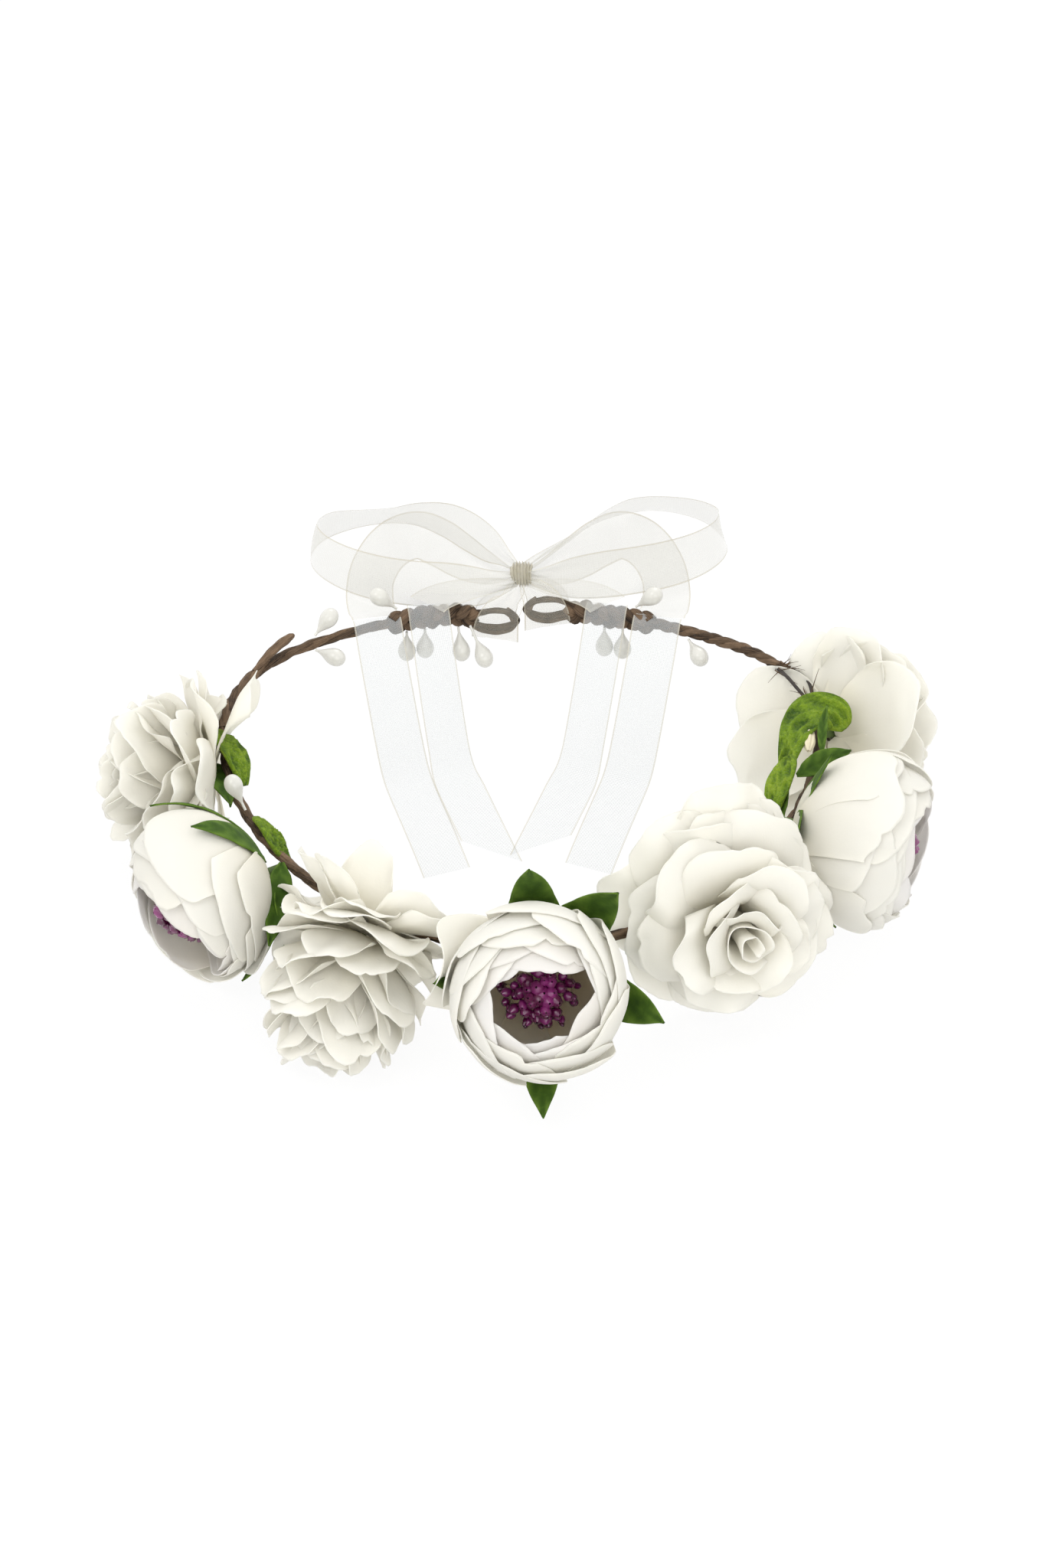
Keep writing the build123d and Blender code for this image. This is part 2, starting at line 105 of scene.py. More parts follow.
def spokes(degrees):
    """Outward and sideways unit vectors at an angle round a flower's axis."""
    angle = math.radians(degrees)
    out = np.array([math.cos(angle), math.sin(angle), 0.0])
    return out, np.array([-math.sin(angle), math.cos(angle), 0.0])


def grid_area(grid):
    """The area of a grid of points, laid flat or in space, from the diagonals of its cells."""
    one = grid[1:, 1:] - grid[:-1, :-1]
    other = grid[1:, :-1] - grid[:-1, 1:]
    squared = (one ** 2).sum(-1) * (other ** 2).sum(-1) - (one * other).sum(-1) ** 2
    return 0.5 * float(np.sqrt(np.maximum(squared, 0.0)).sum())


def grid_normals(grid):
    along = np.gradient(grid, axis=0)
    across = np.gradient(grid, axis=1)
    return unit(np.cross(along, across))


def wavy(rng, u, v, waves, scale):
    """Smooth random bumps over a patch: a few sine waves in random directions."""
    height = np.zeros(np.broadcast(u, v).shape)
    for _ in range(waves):
        turn, phase = rng.uniform(0, TAU, 2)
        pace = rng.uniform(0.6, 1.6) * scale
        height = height + np.sin((u * math.cos(turn) + v * math.sin(turn)) * pace + phase)
    return height / math.sqrt(waves)


def quads(index):
    """The four-sided faces between neighbouring points of a grid."""
    return np.stack([index[:-1, :-1], index[:-1, 1:], index[1:, 1:], index[1:, :-1]], -1).reshape(-1, 4)


class Builder:
    """Collects grids of points, then makes one mesh object of them."""

    def __init__(self):
        self.points = []
        self.faces = []
        self.uvs = []
        self.tints = []
        self.count = 0

    def add(self, points, faces, uvs, tint):
        points = points.reshape(-1, 3)
        self.points.append(points)
        self.uvs.append(uvs.reshape(-1, 2))
        self.tints.append(np.full(len(points), tint) if np.isscalar(tint) else np.ravel(tint))
        self.faces += [tuple(int(i) + self.count for i in face) for face in faces]
        self.count += len(points)

    def add_grid(self, grid, uv, tint=0.5, close_columns=False, close_rows=False):
        index = np.arange(grid[..., 0].size).reshape(grid.shape[:2])
        down = np.vstack([index, index[:1]]) if close_rows else index
        full = np.hstack([down, down[:, :1]]) if close_columns else down
        self.add(grid, quads(full), uv, tint)

    def add_caps(self, rows, columns):
        """Close both ends of the tube that was added last."""
        first = self.count - rows * columns
        last = self.count - columns
        self.faces.append(tuple(range(first, first + columns)))
        self.faces.append(tuple(range(last + columns - 1, last - 1, -1)))

    def add_slab(self, grid, uv, thickness, tint):
        """A sheet with a front, a back and a rim."""
        offset = grid_normals(grid) * thickness / 2.0
        index = np.arange(grid[..., 0].size).reshape(grid.shape[:2])
        back = index + index.size
        rim = np.concatenate([index[0, :-1], index[:-1, -1], index[-1, :0:-1], index[:0:-1, 0]])
        ahead = np.roll(rim, -1)
        faces = [quads(index), quads(back.T),
                 np.stack([rim, rim + index.size, ahead + index.size, ahead], -1)]
        self.add(np.stack([grid + offset, grid - offset]), np.concatenate(faces),
                 np.stack([uv, uv]), np.stack([tint, tint]))

    def make(self, name, material, slot):
        mesh = bpy.data.meshes.new(name)
        mesh.from_pydata(np.concatenate(self.points).tolist(), [], self.faces)
        mesh.validate()
        layer = mesh.uv_layers.new(name="Strip")
        uvs = np.concatenate(self.uvs)
        tints = np.concatenate(self.tints)
        corners = np.zeros(len(mesh.loops), np.int32)
        mesh.loops.foreach_get("vertex_index", corners)
        layer.data.foreach_set("uv", uvs[corners].astype(np.float32).ravel())
        tint = mesh.attributes.new("Tint", "FLOAT", "POINT")
        tint.data.foreach_set("value", tints.astype(np.float32))
        mesh.polygons.foreach_set("use_smooth", np.ones(len(mesh.polygons), bool))
        mesh.materials.append(material)
        mesh.update()
        piece = bpy.data.objects.new(name, mesh)
        bpy.context.scene.collection.objects.link(piece)
        return piece


def frames_along(path):
    """Side and up vectors along a path, with no sudden turns."""
    tangent = unit(np.gradient(path, axis=0))
    side = np.zeros_like(path)
    start = UP if abs(tangent[0][2]) < 0.9 else np.array([1.0, 0.0, 0.0])
    side[0] = unit(np.cross(tangent[0], start))
    for i in range(1, len(path)):
        side[i] = unit(side[i - 1] - tangent[i] * np.dot(side[i - 1], tangent[i]))
    return side, np.cross(side, tangent)


def add_tube(builder, path, radius, sides, tint=0.5, ridge=None, flat=1.0):
    """A closed tube along a path, all in mm.  ridge(along, around) scales the radius."""
    side, up = frames_along(path)
    travelled = run_of(path)[:, None]
    around = np.linspace(0, TAU, sides, endpoint=False)[None, :]
    thick = np.broadcast_to(radius, len(path))[:, None]
    reach = thick * (ridge(travelled, around) if ridge else np.ones((len(path), sides)))
    grid = path[:, None] + (reach * np.cos(around))[..., None] * side[:, None] \
        + (reach * flat * np.sin(around))[..., None] * up[:, None]
    uv = np.stack(np.broadcast_arrays(travelled, around * 2.0), -1)
    builder.add_grid(grid[:, ::-1] * MM, uv[:, ::-1], tint, close_columns=True)
    builder.add_caps(len(path), sides)


def show(builder, name, material, slot, replaces=None, body="crown"):
    """Make a builder's mesh a piece that rides on one body."""
    piece = builder.make(name, material, slot)
    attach(piece, body)
    if replaces:
        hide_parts(replaces)
    return piece


def spline(points, steps):
    """A smooth path through given points, evenly spaced along its length."""
    p = np.asarray(points, float)
    p = np.vstack([2 * p[0] - p[1], p, 2 * p[-1] - p[-2]])
    fine = []
    for i in range(1, len(p) - 2):
        t = np.linspace(0, 1, 24, endpoint=False)[:, None]
        a, b, c, d = p[i - 1], p[i], p[i + 1], p[i + 2]
        fine.append(0.5 * (2 * b + (c - a) * t + (2 * a - 5 * b + 4 * c - d) * t ** 2
                           + (3 * b - a - 3 * c + d) * t ** 3))
    fine = np.vstack(fine + [p[-2][None]])
    travelled = run_of(fine[:, :3])
    wanted = np.linspace(0, travelled[-1], steps)
    return np.stack([np.interp(wanted, travelled, fine[:, k]) for k in range(fine.shape[1])], 1)


# ======================================================================================
# Materials.  Every colour is set on the shader's own socket or by a procedural node.
# ======================================================================================
class Nodes:
    """A material's node tree, with short calls for the nodes used here."""

    def __init__(self, name):
        self.material = bpy.data.materials.new(name)
        self.material.use_nodes = True
        self.tree = self.material.node_tree
        self.shader = self.tree.nodes["Principled BSDF"]
        self.output = self.tree.nodes["Material Output"]

    def add(self, kind, **settings):
        node = self.tree.nodes.new(kind)
        for key, value in settings.items():
            if hasattr(node, key):
                setattr(node, key, value)
            else:
                node.inputs[key.replace("_", " ")].default_value = value
        return node

    def link(self, source, target):
        self.tree.links.new(source, target)

    def set(self, **values):
        for key, value in values.items():
            self.shader.inputs[key.replace("_", " ")].default_value = value

    def tint(self):
        return self.add("ShaderNodeAttribute", attribute_name="Tint").outputs["Fac"]

    def speckled(self, noise, amount):
        """The mesh's own tint, varied either way by a noise."""
        return self.math("ADD", self.tint(), self.math("MULTIPLY", self.math("SUBTRACT", noise, 0.5), amount))

    def strip(self):
        return self.add("ShaderNodeUVMap", uv_map="Strip").outputs["UV"]

    def place(self):
        return self.add("ShaderNodeTexCoord").outputs["Object"]

    def noise(self, vector, scale, detail=3.0, roughness=0.55):
        node = self.add("ShaderNodeTexNoise", Scale=scale, Detail=detail, Roughness=roughness)
        self.link(vector, node.inputs["Vector"])
        return node.outputs["Fac"]

    def math(self, operation, first, second=0.0, third=0.0):
        node = self.add("ShaderNodeMath", operation=operation)
        for socket, value in zip(node.inputs, (first, second, third)):
            if isinstance(value, (int, float)):
                socket.default_value = value
            else:
                self.link(value, socket)
        return node.outputs[0]

    def ramp(self, factor, stops):
        node = self.add("ShaderNodeValToRGB")
        ramp = node.color_ramp
        while len(ramp.elements) < len(stops):
            ramp.elements.new(0.5)
        for element, (position, colour) in zip(ramp.elements, stops):
            element.position = position
            element.color = (*colour, 1.0)
        self.link(factor, node.inputs["Fac"])
        return node.outputs["Color"]

    def mix(self, factor, first, second):
        node = self.add("ShaderNodeMix", data_type="RGBA")
        for index, value in ((0, factor), (6, first), (7, second)):
            if isinstance(value, (int, float)):
                node.inputs[index].default_value = value
            elif isinstance(value, tuple):
                node.inputs[index].default_value = (*value, 1.0)
            else:
                self.link(value, node.inputs[index])
        return node.outputs[2]

    def colour(self, source):
        self.link(source, self.shader.inputs["Base Color"])

    def bump(self, height, strength, distance):
        node = self.add("ShaderNodeBump", Strength=strength, Distance=distance)
        self.link(height, node.inputs["Height"])
        self.link(node.outputs["Normal"], self.shader.inputs["Normal"])


def petal_material(name, hub_tone_and_shade, mid, pale):
    """Starched cloth: creamy and darker towards each petal's hub, partly its own tone and partly painted
    shade of the flower's depths; paler to its edge, finely woven.
    """
    m = Nodes(name)
    shade = m.speckled(m.noise(m.place(), 130.0), 0.22)
    m.colour(m.ramp(shade, [(0.0, hub_tone_and_shade), (0.45, mid), (1.0, pale)]))
    m.set(Roughness=0.72, Specular_IOR_Level=0.25, Sheen_Weight=0.06, Sheen_Roughness=0.5)
    weave = m.noise(m.place(), 1500.0, 2.0)
    crease = m.noise(m.place(), 160.0, 4.0)
    m.bump(m.math("MULTIPLY_ADD", crease, 3.0, weave), 0.35, 0.00018)
    glow = m.add("ShaderNodeBsdfTranslucent")
    glow.inputs["Color"].default_value = (*pale, 1.0)
    blend = m.add("ShaderNodeMixShader", Fac=0.45)
    m.link(m.shader.outputs[0], blend.inputs[1])
    m.link(glow.outputs[0], blend.inputs[2])
    m.link(blend.outputs[0], m.output.inputs["Surface"])
    return m.material


def leaf_material():
    m = Nodes("leaf cloth")
    shade = m.speckled(m.noise(m.place(), 260.0), 0.7)
    m.colour(m.ramp(shade, [(0.0, (0.010, 0.028, 0.003)), (0.5, (0.042, 0.092, 0.007)),
                            (1.0, (0.11, 0.19, 0.022))]))
    m.set(Roughness=0.75, Specular_IOR_Level=0.2)
    m.bump(m.noise(m.place(), 1400.0, 4.0), 0.6, 0.0002)
    return m.material


def felt_material():
    m = Nodes("lime felt")
    fibre = m.noise(m.place(), 900.0, 6.0, 0.75)
    shade = m.speckled(fibre, 1.3)
    m.colour(m.ramp(shade, [(0.0, (0.05, 0.12, 0.002)), (0.5, (0.20, 0.34, 0.006)),
                            (1.0, (0.42, 0.57, 0.035))]))
    m.set(Roughness=0.95, Sheen_Weight=0.1, Sheen_Roughness=0.6, Specular_IOR_Level=0.1)
    m.bump(m.math("MULTIPLY_ADD", m.noise(m.place(), 420.0, 5.0, 0.7), 2.5, fibre), 1.0, 0.0011)
    return m.material


def paper_material():
    """Crinkled brown paper: ridges run lengthwise, as the strip's own map has them."""
    m = Nodes("vine paper")
    stretch = m.add("ShaderNodeMapping", Scale=(0.14, 2.2, 1.0))
    m.link(m.strip(), stretch.inputs["Vector"])
    ridge = m.noise(stretch.outputs[0], 1.0, 5.0, 0.65)
    blotch = m.noise(m.place(), 300.0)
    # painted shade: the ridge noise that raises the bump also makes the ridges lighter and the grooves
    # between them darker; the blotches are the paper's own tone
    shade = m.math("ADD", m.math("MULTIPLY", ridge, 1.5), m.math("MULTIPLY", blotch, 0.5))
    shade = m.math("ADD", m.math("SUBTRACT", shade, 1.05), m.tint())
    m.colour(m.ramp(shade, [(0.1, (0.016, 0.009, 0.005)), (0.9, (0.27, 0.175, 0.105))]))
    m.set(Roughness=0.8, Specular_IOR_Level=0.3)
    m.bump(m.math("MULTIPLY_ADD", ridge, 2.0, m.noise(m.place(), 1800.0)), 0.8, 0.0004)
    return m.material


def organza_material(name, clear, colour):
    """Sheer weave: mostly open between the threads, solid along its two selvedges."""
    m = Nodes(name)
    split = m.add("ShaderNodeSeparateXYZ")
    m.link(m.strip(), split.inputs[0])
    along, across = split.outputs[0], split.outputs[1]
    edge = m.math("GREATER_THAN", m.math("ABSOLUTE", across), RIBBON / 2.0 - SELVEDGE)
    warp = m.math("SINE", m.math("MULTIPLY", across, 14.0))
    weft = m.math("SINE", m.math("MULTIPLY", along, 14.0))
    threads = m.math("MULTIPLY", m.math("ADD", warp, weft), 0.035)
    patch = m.math("MULTIPLY", m.math("SUBTRACT", m.noise(m.strip(), 0.14), 0.5), 0.07)
    cover = m.math("ADD", m.math("ADD", threads, patch), clear)
    cover = m.math("ADD", cover, m.math("MULTIPLY", edge, 0.30))
    m.link(m.math("MINIMUM", cover, 1.0), m.shader.inputs["Alpha"])
    m.colour(m.mix(m.math("MULTIPLY", edge, 0.75), colour, (0.50, 0.46, 0.36)))
    m.set(Roughness=0.42, Specular_IOR_Level=0.5, Sheen_Weight=0.3)
    return m.material


def plain_material(name, colour, roughness, **more):
    m = Nodes(name)
    speckle = m.noise(m.place(), 500.0, 3.0)
    low = tuple(0.82 * c for c in colour)
    m.colour(m.mix(speckle, low, colour))
    m.set(Roughness=roughness, **more)
    m.bump(m.noise(m.place(), 900.0), 0.15, 0.0002)
    return m.material


def stamen_material():
    m = Nodes("stamen lacquer")
    shade = m.speckled(m.noise(m.place(), 420.0), 0.6)
    m.colour(m.ramp(shade, [(0.0, (0.020, 0.001, 0.008)), (0.5, (0.085, 0.002, 0.040)),
                            (1.0, (0.23, 0.018, 0.15))]))
    m.set(Roughness=0.24, Specular_IOR_Level=0.6, Coat_Weight=0.6, Coat_Roughness=0.12)
    return m.material


# ======================================================================================
# Petals.  A flower's own frame: +Z out of its face, +X mostly down, lengths in mm.
# ======================================================================================
class Flower:
    """Where a flower sits: its base comes from the stem made in CAD."""

    def __init__(self, name, azimuth, elevation, stem_top, depth=1.0):
        self.name = name
        self.depth = depth      # shortens the flower along its axis
        az, el = math.radians(azimuth), math.radians(elevation)
        self.z = np.array([math.cos(az) * math.cos(el), math.sin(az) * math.cos(el), math.sin(el)])
        self.y = np.array([-math.sin(az), math.cos(az), 0.0])
        self.x = np.cross(self.y, self.z)
        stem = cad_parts[name + "_stem"].data
        points = np.zeros(len(stem.vertices) * 3)
        stem.vertices.foreach_get("co", points)
        points = points.reshape(-1, 3) / MM
        height = points @ self.z
        top = points[height > height.max() - 0.05]
        self.base = (top.min(axis=0) + top.max(axis=0)) / 2.0 - self.z * stem_top

    def place(self, local):
        """Flower coordinates to the crown's, in mm; nothing goes through the floor."""
        return rest_on_floor(self.base + local[..., :1] * self.x + local[..., 1:2] * self.y
                             + local[..., 2:] * self.depth * self.z)


PETAL = {
    "hub": 2.5, "rise": 0.0, "length": 26.0, "width": 11.0, "angle": 40.0, "bend": -20.0,
    "taper": 0.45, "round": 0.42, "cup": 0.03, "flare": -0.02, "curl": 1.5, "ruffle": 0.9,
    "lean": 0.0, "twist": 0.0, "notch": 0.0, "tint": 0.0, "crease": 0.5, "ragged": 1.0,
}


def petal(builder, flower, rng, spin, rows=20, columns=25, **shape):
    """One cloth petal.  angle is its slope at the hub and bend how much that turns by the tip;
    cup and flare are its curvature across at the hub and at the rim, in 1/mm."""
    p = {**PETAL, **shape}
    u = np.linspace(0.0, 1.0, rows)[:, None]
    u = 1.0 - (1.0 - u) ** 1.25
    theta = np.linspace(-math.pi / 2, math.pi / 2, columns)[None, :]
    edge = wavy(rng, theta, np.zeros_like(theta), 5, 5.5) * 0.026 * p["ragged"]
    fray = rng.uniform(-1.0, 1.0, theta.shape) * 0.007 * p["ragged"]
    notch_at = rng.uniform(-0.9, 0.9)
    notch = p["notch"] * np.exp(-((theta - notch_at) / 0.10) ** 2)
    reach = u * (1.0 - p["round"] * (1.0 - np.cos(theta)))
    reach = reach * (1.0 + (edge + fray - notch) * u ** 6)
    grow = np.sin(np.clip(u, 0, 1) * math.pi / 2) ** 0.8
    half = p["width"] * (p["taper"] + (1.0 - p["taper"]) * grow) * (0.25 + 0.75 * smooth(0.0, 0.30, u))
    across = half * np.sin(theta)

    fine = np.linspace(0.0, 1.12, 90)
    slope = np.radians(p["angle"] + p["bend"] * fine)
    step = p["length"] * (fine[1] - fine[0])
    spine_r = p["hub"] + np.concatenate([[0], np.cumsum(np.cos(slope[:-1]) * step)])
    spine_z = p["rise"] + np.concatenate([[0], np.cumsum(np.sin(slope[:-1]) * step)])
    r = np.interp(reach, fine, spine_r)
    z = np.interp(reach, fine, spine_z)
    tilt = np.interp(reach, fine, slope)

    curvature = p["cup"] + (p["flare"] - p["cup"]) * u ** 2 + 1e-5
    bow = across * curvature
    sideways = np.sin(bow) / curvature
    inward = (1.0 - np.cos(bow)) / curvature
    crease = wavy(rng, theta, u * 0.8, 5, 2.6) * p["crease"] * u
    fine_crease = wavy(rng, theta, u * 0.25, 4, 9.0) * 0.3 * p["crease"] * np.sqrt(u)
    wave = wavy(rng, theta, u * 0.5, 4, 3.8) * p["ruffle"] * u ** 3
    roll = p["curl"] * smooth(0.62, 1.0, u) ** 1.6 * (0.55 + 0.45 * np.cos(theta))
    outward = roll + wave + crease + fine_crease - inward + p["lean"] * across
    radial = r + outward * np.sin(tilt)
    height = z - outward * np.cos(tilt)
    turn = math.radians(p["twist"]) * u
    side = sideways * np.cos(turn)
    height = height + sideways * np.sin(turn)

    out, tangent = spokes(spin)
    local = radial[..., None] * out + side[..., None] * tangent
    local[..., 2] += height
    rim = smooth(0.0, 1.0, u) * (0.75 + 0.25 * np.cos(theta))
    # tint: darker towards the hub, partly the cloth's creamy base and partly painted shade of the flower's
    # depths
    tint = 0.12 + 0.80 * rim + p["tint"] + rng.uniform(-0.06, 0.06)
    uv = np.stack([reach * p["length"], across], -1)
    builder.add_slab(flower.place(local) * MM, uv, PETAL_THICK * MM, tint)
    return grid_area(uv)


def ring(builder, flower, rng, count, spin, spread=8.0, rear=(0.0, 0.0), **shape):
    """A ring of petals, each a little different; returns the flat area they take.
    rear is the side on which the petals close up, and by how many degrees."""
    area = 0.0
    for index in range(count):
        varied = dict(shape)
        varied["length"] = shape["length"] * rng.uniform(0.90, 1.07)
        varied["width"] = shape["width"] * rng.uniform(0.88, 1.08)
        varied["bend"] = shape["bend"] + rng.uniform(-9.0, 6.0)
        varied["curl"] = shape.get("curl", 1.5) * rng.uniform(0.5, 1.4)
        varied["angle"] = shape["angle"] + rng.uniform(-spread, spread)
        varied["lean"] = shape.get("lean", 0.0) + rng.uniform(-0.12, 0.12)
        varied["twist"] = rng.uniform(-16.0, 16.0)
        varied["rise"] = shape.get("rise", 0.0) + rng.uniform(-0.3, 0.3)
        varied["notch"] = rng.uniform(0.03, 0.08) if rng.random() < 0.3 else 0.0
        where = spin + index * 360.0 / count + rng.uniform(-14.0, 14.0)
        varied["angle"] += rear[1] * max(0.0, math.cos(math.radians(where - rear[0])))
        area += petal(builder, flower, rng, where, **varied)
    return area


def rolled_heart(builder, flower, rng, turns=2.1, inside=0.8, outside=5.2, foot=9.5, top=31.0):
    """The rolled-up strip at the middle of a rose."""
    t = np.linspace(0.0, 1.0, 96)[None, :]
    u = np.linspace(0.0, 1.0, 18)[:, None]
    turn = TAU * turns * t
    rim = top + 1.6 * np.sin(turn * 1.7) + 0.8 * np.sin(turn * 4.1 + 1.0) - 3.5 * t
    radius = inside + (outside - inside) * t + (1.0 + 2.4 * t) * u ** 3 \
        + 0.35 * wavy(rng, turn, u * 2.0, 4, 1.5) * u
    local = np.stack([radius * np.cos(turn), radius * np.sin(turn), foot + (rim - foot) * u], -1)
    length = TAU * turns * (inside + outside) / 2.0
    uv = np.stack(np.broadcast_arrays(t * length, (top - foot) * u), -1)
    # the heart is darker at its foot: painted shade deep in the middle of the rose
    builder.add_slab(flower.place(local) * MM, uv, PETAL_THICK * MM, 0.15 + 0.70 * u + 0 * t)
    return grid_area(uv)


def build_petals(flower, seed, layers, odd, cloths, draw_ring, heart=None, **fineness):
    """A flower's three layers: for each its rings, outermost first, then its own odd petals."""
    rng = np.random.default_rng(seed)
    for layer in LAYERS:
        builder = Builder()
        area = sum(draw_ring(builder, flower, rng, **shape) for shape in layers[layer])
        for where, shape in odd.get(layer, ()):
            area += petal(builder, flower, rng, where, **fineness, **shape)
        if heart and layer == "inner":
            area += heart(builder, flower, rng)
        piece = show(builder, f"{flower.name}_{layer}_cloth", *cloths[layer],
                     f"{flower.name}_{layer}_petals")


GOLDEN_ANGLE = 137.5


def petal_spiral(count, spin, first, last, **shared):
    """Petals each a golden angle on from the last, changing evenly from first to last.
    first and last are (rise, length, half width, angle, bend, cup, flare)."""
    keys = ("rise", "length", "width", "angle", "bend", "cup", "flare")
    petals = []
    for index, share in enumerate(np.linspace(0.0, 1.0, count)):
        values = (1.0 - share) * np.array(first) + share * np.array(last)
        petals.append(dict(zip(keys, values), count=1, spin=spin + GOLDEN_ANGLE * index, **shared))
    return petals


def odd_petals(*rows):
    """Rows of (spin, length, half width, angle, bend, cup, flare, curl, ruffle)."""
    keys = ("length", "width", "angle", "bend", "cup", "flare", "curl", "ruffle")
    return [(spin, dict(zip(keys, shape))) for spin, *shape in rows]


# an open rose seen from the front
OPEN_ROSE = {
    "outer": petal_spiral(10, 20, (-0.5, 32.5, 16.5, 2, -16, 0.008, -0.028),
                          (2.0, 31.0, 16.0, 27, -26, 0.018, -0.034), curl=3.4, ruffle=3.4),
    "middle": petal_spiral(9, 80, (3.0, 30.5, 15.5, 33, -28, 0.024, -0.034),
                           (5.5, 28.0, 14.5, 58, -32, 0.036, -0.020), curl=3.4, ruffle=2.8),
    "inner": petal_spiral(9, 150, (6.0, 27.5, 14.0, 63, -26, 0.050, -0.010),
                          (7.5, 24.0, 11.0, 88, -16, 0.090, 0.04), curl=3.0, ruffle=2.0, hub=3.4),
}
# a full rose seen from the side: its petals overlap like scales
SCALE_ROSE = {
    "outer": petal_spiral(16, 0, (-0.5, 32.0, 12.0, -8, 26, 0.018, -0.008),
                          (2.0, 31.5, 11.5, 18, 28, 0.022, -0.006), curl=2.2, ruffle=2.2),
    "middle": petal_spiral(16, 50, (3.0, 31.0, 11.5, 22, 30, 0.026, -0.004),
                           (5.0, 30.5, 11.0, 46, 28, 0.032, 0.002), curl=2.0, ruffle=2.0),
    "inner": petal_spiral(14, 110, (5.0, 29.5, 10.5, 50, 22, 0.038, 0.010),
                          (6.5, 27.5, 9.0, 78, 8, 0.075, 0.05), curl=2.0, ruffle=1.6, hub=1.8),
}
# a long drooping rose, its inner petals hanging well past the outer ones
DROOPING_ROSE = {
    "outer": petal_spiral(20, 15, (-2.0, 26.0, 11.0, -26, 62, 0.018, -0.010),
                          (3.0, 29.0, 10.5, 18, 46, 0.024, -0.006), curl=1.4, ruffle=1.6),
    "middle": petal_spiral(20, 70, (3.5, 30.0, 10.5, 22, 46, 0.028, -0.004),
                           (8.0, 32.0, 10.0, 48, 34, 0.036, 0.004), curl=1.4, ruffle=1.5),
    "inner": petal_spiral(16, 130, (8.5, 32.5, 10.0, 52, 28, 0.044, 0.010),
                          (12.0, 31.5, 8.5, 80, 8, 0.08, 0.05), curl=1.4, ruffle=1.4, hub=1.8),
}
# an open rose seen from behind; it closes up where the vine passes over it
SPLAYED_ROSE = {
    "outer": petal_spiral(10, 16, (-0.5, 30.5, 15.5, 10, -18, 0.010, -0.026),
                          (2.0, 29.5, 15.0, 28, -18, 0.018, -0.024),
                          curl=3.0, ruffle=3.0, rear=(120.0, 28.0)),
    "middle": petal_spiral(11, 60, (3.0, 28.5, 14.0, 34, -16, 0.030, -0.024),
                           (5.0, 27.5, 12.5, 56, -16, 0.040, -0.016),
                           curl=3.0, ruffle=2.6, rear=(120.0, 20.0)),
    "inner": petal_spiral(10, 100, (6.0, 26.5, 11.5, 62, -12, 0.055, 0.0),
                          (7.0, 25.5, 10.0, 78, -8, 0.075, 0.02), curl=2.2, ruffle=1.8, hub=2.0),
}
# odd petals that give each rose its own outline
LEFT_BACK_ODD = {
    "outer": odd_petals(
        (222, 32.0, 11.5, -16, -10, 0.02, -0.05, 2.0, 0.9),
        (262, 28.0, 12.0, -4, 10, 0.03, -0.02, 2.4, 0.9),
    ),
    "middle": odd_petals(
        (8, 36.0, 13.0, 16, 4, 0.015, -0.01, 2.0, 2.0),
        (34, 36.0, 13.0, 28, 2, 0.015, -0.01, 2.0, 2.0),
        (62, 35.0, 13.0, 38, 0, 0.015, -0.01, 2.0, 2.0),
        (350, 35.0, 12.5, 32, 0, 0.015, -0.01, 2.0, 2.0),
    ),
}
FRONT_LEFT_ODD = {
    "outer": odd_petals(
        (250, 29.0, 12.0, -40, 12, 0.01, -0.03, 2.0, 2.0),
        (284, 29.0, 12.0, -20, 18, 0.02, -0.03, 2.0, 2.0),
        (176, 28.0, 9.0, -64, -12, 0.02, 0.06, -2.0, 1.6),
        (214, 27.0, 11.0, -44, 20, 0.01, -0.02, 2.0, 2.0),
        (112, 27.0, 11.0, -36, 20, 0.01, -0.03, 2.0, 2.0),
        (76, 30.0, 12.0, -8, 16, 0.01, -0.03, 2.0, 2.0),
        (98, 32.0, 12.0, -20, 12, 0.01, -0.03, 2.0, 2.0),
        (200, 29.0, 13.0, -30, 80, 0.03, 0.0, 1.2, 1.4),
        (170, 29.0, 11.0, -34, 76, 0.03, 0.0, 1.2, 1.4),
        (140, 29.0, 13.0, -26, 78, 0.03, 0.0, 1.2, 1.4),
    ),
}
FRONT_RIGHT_ODD = {
    "outer": odd_petals(
        (172, 37.0, 17.0, 4, -10, 0.012, -0.03, 3.4, 3.4),
        (212, 34.0, 15.5, 12, -12, 0.02, -0.03, 3.0, 3.0),
        (318, 33.0, 15.5, 4, -20, 0.01, -0.03, 2.8, 3.0),
        (262, 35.5, 16.0, 4, -14, 0.01, -0.03, 2.8, 3.0),
    ),
    "middle": odd_petals(
        (150, 33.0, 17.0, 30, -30, 0.02, -0.03, 3.6, 3.2),
    ),
}
RIGHT_BACK_ODD = {
    "outer": odd_petals(
        (80, 35.0, 15.0, 15, -10, 0.012, -0.03, 2.4, 2.4),
        (44, 32.0, 14.0, -2, -4, 0.012, -0.03, 2.2, 2.4),
        (172, 31.0, 14.0, 22, -14, 0.02, -0.03, 2.4, 2.4),
        (226, 34.0, 15.0, 12, -16, 0.02, -0.03, 2.4, 2.4),
    ),
}


# ======================================================================================
# Ranunculus: globes of wide petals, leaves behind them and a head of stamens inside
# ======================================================================================
GLOBE_FINENESS = {"rows": 24, "columns": 29}


